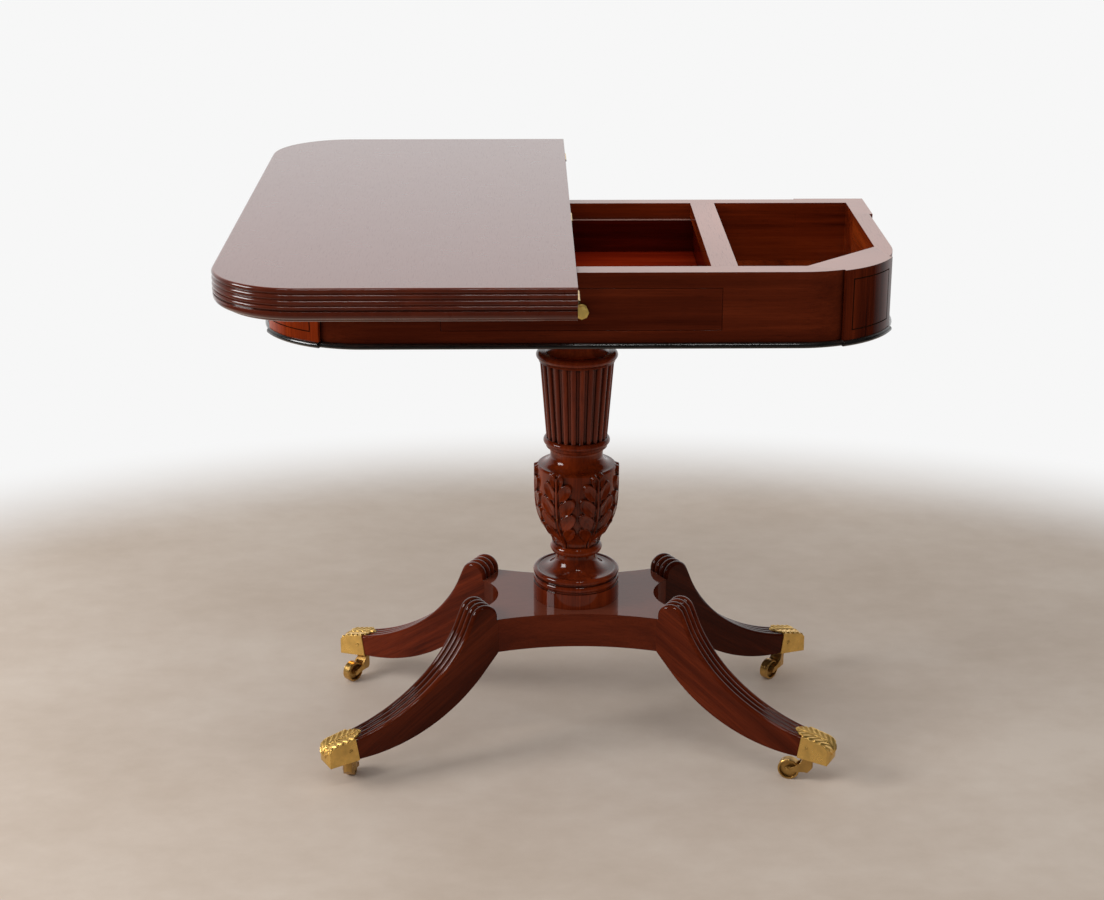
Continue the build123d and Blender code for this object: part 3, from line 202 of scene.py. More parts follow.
def wood_colour(tree, coords, shift, layers, rise, tones, figure, top_sheen_colour):
    """Colour of the grain, with a painted sheen on upward faces, and a little patchy."""
    dark, mid, light = tones
    width = tone_width / figure
    stops = [(tone_middle - width, dark), (tone_middle, mid), (tone_middle + width, light)]
    colour = ramp(tree, weighted(tree, layers, grain_shares), stops)
    # painted sheen: upward faces are blended toward a lighter colour, as if the bright room were mirrored in
    # them
    if top_sheen_colour:
        painted_sheen = spread(tree, rise, sheen_rise_low, sheen_rise_high, 0.0, sheen_share)
        colour = blend(tree, "MIX", painted_sheen, colour, (*top_sheen_colour, 1.0))
    blotch = even_noise(tree, coords, shift, *blotch_noise)
    patch_range = (1.0 - patch_darker * figure, 1.0 + patch_lighter * figure)
    patch = spread(tree, blotch, noise_low, noise_high, *patch_range)
    patch = add(tree, "ShaderNodeCombineColor", {"Red": patch, "Green": patch, "Blue": patch}).outputs[0]
    return blend(tree, "MULTIPLY", 1.0, colour, patch)


def wood_roughness(tree, coords, shift, pores, rough, figure):
    """Roughness below the polish, uneven from wear and higher in the pores."""
    wear = even_noise(tree, coords, shift, *wear_noise)
    rough_range = (rough * (1.0 - wear_share * figure), rough * (1.0 + wear_share * figure))
    roughness = spread(tree, wear, noise_low, noise_high, *rough_range)
    return maths(tree, "ADD", roughness, maths(tree, "MULTIPLY", pores, pore_roughness))


def wood_relief(tree, coords, shift, pores, fine, ripple):
    """Normals of the grain and of the film of polish over it, both with rounded arrises."""
    height = weighted(tree, (pores, fine), (pore_height, fine_height))
    wave = even_noise(tree, coords, shift, *wave_noise)
    relief = {"Strength": ripple, "Normal": soft_edge(tree, wood_arris)}
    bump = add(tree, "ShaderNodeBump", {"Distance": grain_depth, "Height": height, **relief})
    film = add(tree, "ShaderNodeBump", {"Distance": wave_depth, "Height": wave, **relief})
    return bump.outputs[0], film.outputs[0]


def wood(name, grain, tones, gloss, seed, figure=1.0, recess_shade=0.0, pore=0.3, ripple=0.06, top_sheen_colour=None, shine=0.0,
         shadowed_gaps=False, both=False):
    """Straight-grained wood. grain is the grain's direction, tones are dark, middle and light.

    gloss is the share of polish on upward faces, its share on other faces, and the roughness below it.
    figure and the next three set the strengths of the grain, the painted shade in recesses, the pores and
    waves.
    The sheen colour, if given, paints a lighter sheen on the upward faces, and shine is the reflection of the
    wood below its polish.
    The joint flag paints shadow on the sides of joints with other pieces, and both treats downward faces as
    upward ones.
    """
    material, tree = new_material(name)
    shift = tuple(seed * step for step in seed_steps)
    coords = add(tree, "ShaderNodeTexCoord").outputs["Object"]
    broad, band, fine, fleck = grain_noises(tree, coords, grain, shift)
    facing = add(tree, "ShaderNodeTexCoord").outputs["Normal"]
    rise = add(tree, "ShaderNodeSeparateXYZ", {"Vector": facing}).outputs["Z"]
    if both:
        rise = maths(tree, "ABSOLUTE", rise)

    colour = wood_colour(tree, coords, shift, (broad, band, fine), rise, tones, figure, top_sheen_colour)
    pores = spread(tree, fleck, pore_low, pore_high)
    pore_colour = (*[channel * pore_shade for channel in tones[0]], 1.0)
    colour = blend(tree, "MIX", maths(tree, "MULTIPLY", pores, pore), colour, pore_colour)
    # painted shade: the piece's own recesses are darkened by how closed in they are
    if recess_shade:
        open_share = hollows(tree, *hollow_shade_reach)
        dirt_and_shade = maths(tree, "MULTIPLY", maths(tree, "SUBTRACT", 1.0, open_share), recess_shade)
        colour = blend(tree, "MIX", dirt_and_shade, colour, hollow_shade_colour)
    # painted shadow: the sides of joints with other pieces are darkened by how closed in they are
    gap_unshaded = hollows(tree, *gap_shadow_reach, False) if shadowed_gaps else None
    if shadowed_gaps:
        colour = blend(tree, "MIX", gap_unshaded, gap_shadow_colour, colour)

    top_coat, side_coat, rough = gloss
    roughness = wood_roughness(tree, coords, shift, pores, rough, figure)
    normal, coat_normal = wood_relief(tree, coords, shift, pores, fine, ripple)
    constants = {"coat_roughness": polish_roughness, "specular_ior_level": shine}
    if top_coat:
        coat = spread(tree, rise, coat_rise_low, coat_rise_high, side_coat, top_coat)
        # the painted shadow in the joints also takes the polish out of them
        constants["coat_weight"] = maths(tree, "MULTIPLY", coat, gap_unshaded) if shadowed_gaps else coat
    shader = finish_material(tree, colour, roughness, normal, **constants)
    tree.links.new(coat_normal, shader.inputs["Coat Normal"])
    return material


# Metal and black wood

cloud_noise, speck_noise = (70.0, 4.0, 0.6), (900.0, 2.0, 0.6)
metal_seed_steps = (1.0, 0.7, 1.9)
tarnish_range = (0.42, 0.72, 0.0, 0.45)
recess_low, recess_high = 0.2, 0.8
smoother_share, rougher_share, dirt_roughness = 0.75, 1.4, 0.3
speck_strength, speck_depth = 0.12, 0.0001
ebony_scale, ebony_detail, ebony_noise_roughness = (40.0, 40.0, 160.0), 3.0, 0.6
ebony_strength, ebony_polish_roughness = 0.08, 0.08
ebony_stops = [(0.35, (0.005, 0.0045, 0.004)), (0.60, (0.011, 0.009, 0.008)), (0.78, (0.035, 0.014, 0.009))]
ebony_rough_low, ebony_rough_high = 0.22, 0.36


def metal(name, tone, dark, rough, recess, arris, seed=0.0, distance=0.003, bare=1.0):
    """Cast or turned metal, with its roughness and the rounding of its arrises.

    recess is the strength of the tarnish in recesses of up to a distance across, and bare the share without
    a dull film.
    """
    material, tree = new_material(name)
    coords = add(tree, "ShaderNodeTexCoord").outputs["Object"]
    shift = tuple(seed * step for step in metal_seed_steps)
    cloud = even_noise(tree, coords, shift, *cloud_noise)
    speck = even_noise(tree, coords, shift, *speck_noise)
    tarnish = spread(tree, cloud, *tarnish_range)
    dull_tone = (*[(a + b) / 2 for a, b in zip(tone, dark)], 1.0)
    colour = blend(tree, "MIX", tarnish, (*tone, 1.0), dull_tone)
    open_share = hollows(tree, distance, recess_low, recess_high)
    dirt_and_shade = maths(tree, "MULTIPLY", maths(tree, "SUBTRACT", 1.0, open_share), recess)
    colour = blend(tree, "MIX", dirt_and_shade, colour, (*dark, 1.0))
    roughness = spread(tree, cloud, noise_low, noise_high, rough * smoother_share, rough * rougher_share)
    roughness = maths(tree, "ADD", roughness, maths(tree, "MULTIPLY", dirt_and_shade, dirt_roughness))
    relief = {"Strength": speck_strength, "Distance": speck_depth, "Normal": soft_edge(tree, arris)}
    bump = add(tree, "ShaderNodeBump", {"Height": speck, **relief})
    finish_material(tree, colour, roughness, bump.outputs[0], metallic=bare)
    return material


def ebony(name):
    """Black-stained wood, rubbed a little brown along its grain."""
    material, tree = new_material(name)
    coords = add(tree, "ShaderNodeTexCoord").outputs["Object"]
    rub = noise(tree, scaled(tree, coords, ebony_scale), ebony_detail, ebony_noise_roughness)
    colour = ramp(tree, rub, ebony_stops)
    roughness = spread(tree, rub, noise_low, noise_high, ebony_rough_low, ebony_rough_high)
    relief = {"Strength": ebony_strength, "Distance": grain_depth, "Normal": soft_edge(tree, wood_arris)}
    bump = add(tree, "ShaderNodeBump", {"Height": rub, **relief})
    polish = {"coat_weight": 1.0, "coat_roughness": ebony_polish_roughness}
    finish_material(tree, colour, roughness, bump.outputs[0], **polish)
    return material


# Finish of every node. Each set of tones is dark, middle and light, in linear light.

red_tones = ((0.022, 0.0027, 0.0011), (0.078, 0.0112, 0.0034), (0.160, 0.0250, 0.0070))
deep_tones = ((0.036, 0.0042, 0.0016), (0.130, 0.0170, 0.0044), (0.250, 0.0380, 0.0090))
# Painted light: lighter copies of the red wood for pieces that the window lights
window_lit_tones = ((0.050, 0.0058, 0.0014), (0.175, 0.0220, 0.0036), (0.320, 0.0470, 0.0070))
# Painted light and shade: a lit and a shaded copy of the same wood for the two front blocks
lit_block_tones = ((0.090, 0.0095, 0.0018), (0.240, 0.0280, 0.0042), (0.400, 0.0580, 0.0085))
shaded_block_tones = ((0.014, 0.0014, 0.0005), (0.056, 0.0068, 0.0016), (0.120, 0.0160, 0.0036))
lining_tones = ((0.040, 0.0040, 0.0010), (0.140, 0.0160, 0.0030), (0.250, 0.0330, 0.0060))
drawer_tones = ((0.026, 0.0012, 0.0004), (0.095, 0.0046, 0.0010), (0.190, 0.0110, 0.0022))
shadow_tones = ((0.014, 0.0007, 0.0003), (0.050, 0.0024, 0.0006), (0.110, 0.0066, 0.0014))
floor_tones = ((0.110, 0.0060, 0.0012), (0.260, 0.0160, 0.0030), (0.380, 0.0330, 0.0060))
plain_tones = ((0.070, 0.022, 0.010), (0.180, 0.062, 0.026), (0.290, 0.115, 0.050))
line_tones = ((0.004, 0.002, 0.001), (0.008, 0.004, 0.002), (0.014, 0.006, 0.003))
# Painted sheen colours that lighten the upward faces of the leaves, frieze and platform
leaf_top_sheen, frieze_top_sheen, platform_top_sheen = (0.190, 0.038, 0.019), (0.540, 0.300, 0.250), (0.185, 0.050, 0.028)

# Share of polish on upward faces, its share on other faces, and the roughness below it
top_gloss = (1.0, 0.90, 0.28)
side_gloss = (1.0, 0.45, 0.38)
block_gloss = (1.0, 0.80, 0.38)
turned_gloss = (0.9, 0.85, 0.36)
leg_gloss = (1.0, 0.25, 0.38)
platform_gloss = (0.88, 0.30, 0.34)
tray_gloss = (0.25, 0.20, 0.38)
plain_gloss = (0.0, 0.0, 0.62)

# The leaves, rails, blocks and platform carry a painted sheen on their upward faces
leaf_look = {"figure": 0.25, "recess_shade": 0.5, "pore": 0.1, "ripple": 0.01, "top_sheen_colour": leaf_top_sheen, "shine": 0.16,
             "both": True}
# The front rail and drawer front take painted shadow along their joints
rail_look = {"figure": 0.65, "top_sheen_colour": frieze_top_sheen, "shadowed_gaps": True}
block_look = {"figure": 1.2, "top_sheen_colour": frieze_top_sheen}
platform_look = {"figure": 0.6, "top_sheen_colour": platform_top_sheen}
finishes = {
    "upper_leaf": wood("leaf_top_wood", y_way, red_tones, top_gloss, 1.0, **leaf_look),
    "lower_leaf": wood("leaf_under_wood", y_way, red_tones, top_gloss, 2.0, **leaf_look),
    "front_rail": wood("front_rail_wood", x_way, red_tones, side_gloss, 3.0, **rail_look),
    "drawer_front": wood("drawer_front_wood", x_way, red_tones, side_gloss, 4.0, **rail_look),
    "back_rail": wood("back_rail_wood", x_way, lining_tones, side_gloss, 5.0, top_sheen_colour=frieze_top_sheen),
    # The end rail, divider, well floor and vase are painted as lit by the window
    "end_rail": wood("end_rail_wood", y_way, window_lit_tones, side_gloss, 6.0, top_sheen_colour=frieze_top_sheen),
    # The right front block is painted in shade and the left one in the window's light
    "front_block": wood("front_block_shaded_wood", z_way, shaded_block_tones, block_gloss, 7.0, **block_look),
    "front_block_left": wood("front_block_left_lit_wood", z_way, lit_block_tones, block_gloss, 7.5, **block_look),
    "back_post": wood("back_post_wood", x_way, lining_tones, side_gloss, 5.0, top_sheen_colour=frieze_top_sheen),
    "divider": wood("divider_wood", y_way, window_lit_tones, side_gloss, 9.0, top_sheen_colour=frieze_top_sheen),
    "well_floor": wood("well_floor_wood", y_way, window_lit_tones, side_gloss, 10.0),
    "pivot_board": wood("pivot_board_wood", y_way, red_tones, side_gloss, 11.0),
    "column_bearer": wood("bearer_wood", x_way, plain_tones, plain_gloss, 12.0),
    "drawer_side": wood("drawer_side_wood", y_way, drawer_tones, side_gloss, 13.0, top_sheen_colour=frieze_top_sheen),
    "drawer_back": wood("drawer_back_wood", x_way, shadow_tones, side_gloss, 14.0, top_sheen_colour=frieze_top_sheen),
    "drawer_bottom": wood("drawer_bottom_wood", x_way, floor_tones, tray_gloss, 15.0),
    "drawer_runner": wood("runner_wood", y_way, plain_tones, plain_gloss, 16.0),
    # The turned pieces take painted shade in their recesses
    "column_capital": wood("capital_wood", z_way, deep_tones, turned_gloss, 17.0, recess_shade=0.6),
    "column_shaft": wood("shaft_wood", z_way, deep_tones, turned_gloss, 18.0, recess_shade=1.0),
    "column_vase": wood("vase_wood", z_way, window_lit_tones, turned_gloss, 19.0, recess_shade=1.0),
    "column_base": wood("base_wood", z_way, deep_tones, turned_gloss, 20.0, recess_shade=0.7),
    "platform": wood("platform_wood", x_way, red_tones, platform_gloss, 21.0, **platform_look),
    "ebonised_bead": ebony("black_bead"),
}
line_wood = wood("line_wood", z_way, line_tones, plain_gloss, 30.0)

cap_tone, caster_tone = (0.93, 0.58, 0.16), (0.66, 0.40, 0.125)
hinge_tone, knob_tone, brass_dark = (0.86, 0.58, 0.21), (0.90, 0.62, 0.16), (0.060, 0.032, 0.012)
steel_tone, steel_dark = (0.34, 0.33, 0.32), (0.08, 0.07, 0.06)
fine_arris = 0.0004
cap_brass = metal("cap_brass", cap_tone, brass_dark, rough=0.30, recess=0.8, arris=0.0012, bare=0.85)
caster_brass = metal("caster_brass", caster_tone, brass_dark, rough=0.34, recess=0.95, arris=0.0006, seed=3.0,
                     distance=0.006)
hinge_brass = metal("hinge_brass", hinge_tone, brass_dark, rough=0.26, recess=0.6, arris=fine_arris, seed=5.0)
knob_brass = metal("knob_brass", knob_tone, brass_dark, rough=0.36, recess=0.5, arris=fine_arris, seed=9.0,
                   bare=0.5)
plain_steel = metal("plain_steel", steel_tone, steel_dark, rough=0.42, recess=0.6, arris=fine_arris, seed=7.0)
metals = {
    "toe_cap_": cap_brass,
    "caster_": caster_brass,
    "hinge_": hinge_brass,
    "hinge_pins": plain_steel,
    "drawer_knob": knob_brass,
    "pivot_plate": plain_steel,
    "pivot_bolt": plain_steel,
    "pivot_washer": plain_steel,
    "pivot_nut": plain_steel,
    "bearer_screws": plain_steel,
}


def leg_heading(corner):
    """Direction in plan, in degrees, in which a leg runs out from the platform."""
    side_x, side_y = corners[corner]
    angle = leg_angle if side_y > 0 else -leg_angle
    return angle if side_x > 0 else 180 - angle


# The legs' grain slopes down along them, and their tones follow the light on the photo's legs
leg_grain_slope = radians(-33.0)
leg_shades = {"front_right": 1.05, "back_right": 0.6, "back_left": 1.9, "front_left": 0.65}
# The legs take painted shade in their recesses as well
first_leg_seed, leg_hollow_shade = 22.0, 0.8
for number, corner in enumerate(corners):
    heading = radians(leg_heading(corner))
    level_share = cos(leg_grain_slope)
    way = (level_share * cos(heading), level_share * sin(heading), sin(leg_grain_slope))
    tones = [[channel * leg_shades[corner] for channel in tone] for tone in red_tones]
    seed = first_leg_seed + number
    finishes["leg_" + corner] = wood("leg_wood_" + corner, way, tones, leg_gloss, seed, recess_shade=leg_hollow_shade)


def finish_of(name):
    """The most exact entry in the two tables that a node's name starts with."""
    table = {**finishes, **metals}
    keys = [key for key in table if name.startswith(key)]
    return table[max(keys, key=len)]


for name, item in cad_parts.items():
    for place in item.material_slots:
        place.material = finish_of(name)


# The arrises of the drawer front and of its rail are rubbed round, so that the gap between them shows
rubbed_width, rubbed_angle = 0.0012, 50.0
for name in ("drawer_front", "front_rail"):
    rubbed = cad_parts[name].modifiers.new("rubbed_edges", "BEVEL")
    rubbed.width, rubbed.segments, rubbed.angle_limit = rubbed_width, 2, radians(rubbed_angle)


# Pieces made here

def piece(name, vertices, faces, material, body, smooth_angle=38.0):
    """Mesh piece from vertices in millimetres, riding on a body, with edges over smooth_angle kept sharp."""
    mesh = bpy.data.meshes.new(name)
    mesh.from_pydata([tuple(c / 1000 for c in vertex) for vertex in vertices], [], faces)
    mesh.validate()
    mesh.materials.append(material)
    mesh.polygons.foreach_set("use_smooth", [True] * len(mesh.polygons))
    mesh.set_sharp_from_angle(angle=radians(smooth_angle))
    item = bpy.data.objects.new(name, mesh)
    collection.objects.link(item)
    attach(item, body)
    return item


def grid_faces(rows, columns, closed):
    """Quads between rows of columns vertices, joined round if closed."""
    faces = []
    span = columns if closed else columns - 1
    for row in range(rows - 1):
        for column in range(span):
            after = (column + 1) % columns
            low, high = row * columns, (row + 1) * columns
            faces.append((low + column, low + after, high + after, high + column))
    return faces


def turning(rings, columns, extra):
    """Vertices and faces of a turning, closed at both ends, from its rings of radius and level.

    extra gives what a ring's number, an angle in degrees and the ring's level add to its radius.
    """
    vertices = []
    for number, (radius, level) in enumerate(rings):
        for column in range(columns):
            turn = 360.0 * column / columns
            reach = radius + extra(number, turn, level)
            angle = radians(turn)
            vertices.append((reach * cos(angle), reach * sin(angle), level))
    faces = grid_faces(len(rings), columns, True)
    faces.append(tuple(range(columns - 1, -1, -1)))
    last = (len(rings) - 1) * columns
    faces.append(tuple(range(last, last + columns)))
    return vertices, faces


def smooth_step(low, high, value):
    share = min(max((value - low) / (high - low), 0.0), 1.0)
    return share * share * (3 - 2 * share)


# Carved vase: a turning whose bellied part is raised by six lobed leaves

vase_columns, vase_rows, arc_steps = 600, 168, 12
vase_foot_flat, vase_top_flat = 28.0, 30.0
neck_radius, neck_bulge = 28.6, 7.0
rim_drop, lip_radius, lip_inner, shoulder_radius = 2.0, 52.5, 51.5, 35.8
leaf_sector, carving_angle = 60.0, 60.0
leaf_half_width = 28.5
leaf_height = vase_lip - vase_foot
carving_relief = 3.7
# Radius of the ground at heights above the foot
vase_ground = (
    (0.0, 29.3), (5.0, 30.2), (11.0, 33.4), (21.0, 40.5), (31.0, 46.0), (45.0, 51.0), (61.0, 53.5),
    (79.0, 54.4), (113.5, 54.6),
)
# Each lobe, top one first: centre across and up, half length, half width and lean from upright in degrees
lobes = (
    (4.2, 103.0, 10.0, 5.8, 14.0),
    (10.6, 88.0, 15.0, 8.6, 30.0),
    (13.6, 66.5, 17.0, 9.6, 38.0),
    (14.2, 44.5, 17.0, 9.8, 40.0),
    (13.6, 23.0, 16.0, 9.6, 42.0),
)
# Hollow of a lobe, in shares of its height, half length and half width
bowl_floor, bowl_inner_share, bowl_rim, bowl_power = 0.26, 0.35, 0.84, 2.2
bowl_inner_end, bowl_outer_end = -0.9, 0.1
lobe_vein, vein_width, vein_end_low, vein_end_high = 0.10, 0.09, 0.5, 0.8
lobe_edge = 0.90
# Body, rib and groove of a leaf: shares of the relief, and half widths where the taper is 1
leaf_taper, leaf_taper_loss = 1.25, 0.55
leaf_end_low, leaf_end_high = 0.93, 0.965
body_share, body_inner, body_outer = 0.42, 5.0, 8.0
rib_share, rib_inner, rib_outer = 0.95, 1.2, 1.9
groove_share, groove_place, groove_width = 0.40, 3.0, 1.0


def lobe_height(across, up, lobe):
    """Height of one lobe, hollowed like a spoon, and the share of it that covers the lobe above."""
    centre_x, centre_y, length, width, lean = lobe
    turn = radians(lean)
    dx, dy = across - centre_x, up - centre_y
    on_axis = (dx * sin(turn) + dy * cos(turn)) / length
    off_axis = (dx * cos(turn) - dy * sin(turn)) / width
    reach = hypot(on_axis, off_axis)
    if reach >= 1.0:
        return 0.0, 0.0
    outer = smooth_step(bowl_inner_end, bowl_outer_end, on_axis)
    wall = bowl_inner_share + (1.0 - bowl_inner_share) * outer
    bowl = bowl_floor + (1.0 - bowl_floor) * wall * min(reach / bowl_rim, 1.0) ** bowl_power
    vein_share = 1.0 - smooth_step(vein_end_low, vein_end_high, reach)
    vein = lobe_vein * exp(-(off_axis / vein_width) ** 2) * vein_share
    return bowl - vein, 1.0 - smooth_step(lobe_edge, 1.0, reach)


def leaf_relief(across, up):
    """Height of the carved leaf above the ground, as a share of the full relief."""
    side = abs(across)
    share = up / leaf_height
    taper = leaf_taper - leaf_taper_loss * share
    fade = 1.0 - smooth_step(leaf_end_low, leaf_end_high, share)
    body = body_share * (1.0 - smooth_step(body_inner * taper, body_outer * taper, side)) * fade
    for lobe in lobes:
        height, cover = lobe_height(side, up, lobe)
        body += (height - body) * cover
    rib = 1.0 - smooth_step(rib_inner * taper, rib_outer * taper, side)
    body -= groove_share * exp(-((side - groove_place * taper) / groove_width) ** 2) * fade
    return min(max(body, rib_share * rib * fade, 0.0), 1.0)


def vase_radius(up):
    """Radius of the vase's ground at a height above its foot, as a smooth curve through the table."""
    index = max(number for number in range(len(vase_ground) - 1) if vase_ground[number][0] <= up)
    (low, first), (high, last) = vase_ground[index], vase_ground[index + 1]

    def slope(number):
        before = vase_ground[max(number - 1, 0)]
        after = vase_ground[min(number + 1, len(vase_ground) - 1)]
        return (after[1] - before[1]) / (after[0] - before[0])

    span = high - low
    t = (up - low) / span
    rise = (2 * t ** 3 - 3 * t ** 2 + 1) * first + (3 * t ** 2 - 2 * t ** 3) * last
    return rise + span * ((t ** 3 - 2 * t ** 2 + t) * slope(index) + (t ** 3 - t ** 2) * slope(index + 1))


def carved_vase():
    rings = [(vase_foot_flat, vase_low), (neck_radius, vase_low)]
    for step in range(1, arc_steps):
        turn = radians(-90 + 180 * step / arc_steps)
        level = (vase_low + vase_foot) / 2 + (vase_foot - vase_low) / 2 * sin(turn)
        rings.append((neck_radius + neck_bulge * cos(turn), level))
    rings.append((neck_radius, vase_foot))
    body_start = len(rings)
    rim = vase_lip - rim_drop
    for step in range(vase_rows + 1):
        up = (rim - vase_foot) * step / vase_rows
        rings.append((vase_radius(up), vase_foot + up))
    body_end = len(rings)
    rings += [(lip_radius, vase_lip), (lip_inner, vase_lip)]
    for step in range(1, arc_steps + 1):
        turn = radians(90 * step / arc_steps)
        radius = shoulder_radius + (lip_inner - shoulder_radius) * (1.0 - sin(turn))
        rings.append((radius, vase_lip + (vase_shoulder - vase_lip) * (1.0 - cos(turn))))
    rings += [(shoulder_radius, vase_top), (vase_top_flat, vase_top)]

    def carving(number, turn, level):
        if not body_start <= number < body_end:
            return 0.0
        half_sector = leaf_sector / 2
        offset = ((turn + half_sector) % leaf_sector) - half_sector
        return carving_relief * leaf_relief(offset / half_sector * leaf_half_width, level - vase_foot)

    vertices, faces = turning(rings, vase_columns, carving)
    material = finishes["column_vase"]
    item = piece("carved_vase", vertices, faces, material, "stand", carving_angle)
    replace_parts(item, "column_vase")


carved_vase()


# Reeded shaft: a turning with a ring and a collar, its taper cut into narrow reeds

shaft_columns = 576
shaft_foot_flat, shaft_foot_radius, shaft_top_flat, shaft_top = 28.0, 36.3, 30.0, 554.5
cove_radius, cove_level, cove_width, cove_height = 36.5, 415.6, 5.0, 5.2
ring_fillet_radius, ring_fillet_top = 41.5, 424.6
collar_fillet_radius, collar_fillet_height, collar_top_radius = 51.4, 3.2, 49.4
# Ring and collar: middle radius, middle level, half width and half height
shaft_ring = (40.7, 429.3, 4.6, 4.7)
shaft_collar = (50.0, 549.6, 5.1, 4.9)
reeds_foot, reeds_head, reeds_foot_radius, reeds_head_radius, reed_rows = 434.0, 541.5, 41.5, 50.2, 12
reed_count, reed_crest_share, reed_deepest, reed_angle = 24, 0.72, 3.8, 40.0


def reed_depth(turn):
    """Depth below the reeds' crests at an angle round the shaft."""
    side = abs(2.0 * ((turn / (360.0 / reed_count)) % 1.0) - 1.0)
    return reed_deepest * (1.0 - sqrt(1.0 - min(side / reed_crest_share, 1.0) ** 2))


def bead_rings(bead, first, last):
    """Rings of a turned bead at every tenth degree, between two angles from its widest place."""
    radius, level, half_width, half_height = bead
    angles = [radians(turn) for turn in range(first, last, 10)]
    return [(radius + half_width * cos(angle), level + half_height * sin(angle)) for angle in angles]


def reeded_shaft():
    rings = [(shaft_foot_flat, vase_top), (shaft_foot_radius, vase_top), (cove_radius, cove_level)]
    for step in range(1, 7):
        turn = radians(15 * step)
        rings.append((cove_radius + cove_width * (1.0 - cos(turn)), cove_level + cove_height * sin(turn)))
    rings.append((ring_fillet_radius, ring_fillet_top))
    rings += bead_rings(shaft_ring, -80, 90)
    reeds_start = len(rings)
    for step in range(reed_rows + 1):
        radius = reeds_foot_radius + (reeds_head_radius - reeds_foot_radius) * step / reed_rows
        rings.append((radius, reeds_foot + (reeds_head - reeds_foot) * step / reed_rows))
    reeds_end = len(rings)
    rings += [(collar_fillet_radius, reeds_head), (collar_fillet_radius, reeds_head + collar_fillet_height)]
    rings += bead_rings(shaft_collar, -75, 95)
    rings += [(collar_top_radius, shaft_top), (shaft_top_flat, shaft_top)]

    def reeding(number, turn, level):
        return -reed_depth(turn) if reeds_start <= number < reeds_end else 0.0

    vertices, faces = turning(rings, shaft_columns, reeding)
    material = finishes["column_shaft"]
    item = piece("reeded_shaft", vertices, faces, material, "stand", reed_angle)
    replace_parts(item, "column_shaft")


reeded_shaft()


# Black lines let into the rounded front blocks

line_inset_angle, line_inset = 5.2, 12.0
line_width, line_proud, line_depth, line_steps = 1.3, 0.08, 0.6, 16


def block_line(name, side):
    """Rectangle of thin line on a front block, inset from its edges."""
    first, last = block_arc_first + line_inset_angle, block_arc_last - line_inset_angle
    low, high = rail_bottom + line_inset, frieze_top - line_inset
    turn_width = degrees(line_width / block_radius)
    vertices, faces = [], []

    def band(angles, levels):
        """Curved bar between two angles and two levels."""
        start = len(vertices)
        for angle in angles:
            for level in levels:
                for depth in (-line_depth, line_proud):
                    radius = block_radius + depth
                    x = block_centre.x + radius * cos(radians(-angle))
                    y = block_centre.y + radius * sin(radians(-angle))
                    vertices.append((side * x, y, level))
        for step in range(len(angles) - 1):
            a, b = start + 4 * step, start + 4 * (step + 1)
            ring = ((0, 1), (1, 3), (3, 2), (2, 0))
            for one, two in ring:
                quad = (a + one, a + two, b + two, b + one)
                faces.append(quad if side > 0 else quad[::-1])
        for end, order in ((start, (0, 2, 3, 1)), (start + 4 * (len(angles) - 1), (0, 1, 3, 2))):
            quad = tuple(end + index for index in order)
            faces.append(quad if side > 0 else quad[::-1])

    steps = [first + (last - first) * step / line_steps for step in range(line_steps + 1)]
    band(steps, (low, low + line_width))
    band(steps, (high - line_width, high))
    band((first, first + turn_width), (low + line_width, high - line_width))
    band((last - turn_width, last), (low + line_width, high - line_width))
    piece(name, vertices, faces, line_wood, "stand")


block_line("block_line_right", 1)
block_line("block_line_left", -1)


# Leaf castings on top of the toe caps, in the leg's own frame

# Points of the leg's crest and the cap's top, as distance from the leg's butt and height above the floor
tip_points = ((197.5, 73.8), (202.0, 72.7), (207.0, 71.6), (212.0, 70.85))
cap_top_run, cap_top_fall, cap_top_steps = 24.6, 5.4, 7
nose_points = ((236.63, 65.46), (250.63, 55.16), (248.83, 35.36))
nose_stop, nose_steps = (252.5, 48.0), 8
# Outline of a casting, by the distance along it from its tip and from the stem on the nose
cast_rows, cast_columns = 96, 57
cast_half_width, stem_narrowing, stem_narrowing_length = 16.6, 1.2, 20.0
stem_pull_share, stem_pull_length = 0.50, 13.0
tip_start, tip_length, tip_power = 0.4, 17.0, 0.7
scallop_share, scallop_start, scallop_power = 0.16, 2.0, 5
# Relief of a casting: blades along it, a rib with grooves beside it, and edges let into the cap
blade_pitch, blade_lean, blade_height = 8.4, 0.85, 1.5
blade_rise_end, blade_fall_start, blade_fall_share = 0.30, 0.45, 0.75
blade_inner_share, blade_outer_low, blade_outer_high = 0.55, 0.35, 0.9
cast_rib_height, cast_rib_inner, cast_rib_outer = 1.45, 0.7, 1.6
cast_groove, cast_groove_place, cast_groove_width = 0.5, 2.1, 0.6
cast_thickness, cast_edge_share, tip_blend, stem_blend = 0.2, 0.93, 3.0, 2.5
cast_sunk, cast_edge_sunk, cast_angle = 0.5, 0.7, 50.0
cap_flat_half, cap_curve = 12.0, 0.02


def leg_matrix(corner):
    side_x, side_y = corners[corner]
    place = Matrix.Translation((side_x * leg_butt[0], side_y * leg_butt[1], 0.0))
    return place @ Matrix.Rotation(radians(leg_heading(corner)), 4, "Z")


def arc_through(first, second, third):
    """Centre and radius of the circle through three points."""
    (ax, ay), (bx, by), (cx, cy) = first, second, third
    d = 2 * (ax * (by - cy) + bx * (cy - ay) + cx * (ay - by))
    a_square, b_square, c_square = ax * ax + ay * ay, bx * bx + by * by, cx * cx + cy * cy
    ux = (a_square * (by - cy) + b_square * (cy - ay) + c_square * (ay - by)) / d
    uy = (a_square * (cx - bx) + b_square * (ax - cx) + c_square * (bx - ax)) / d
    return (ux, uy), hypot(ax - ux, ay - uy)


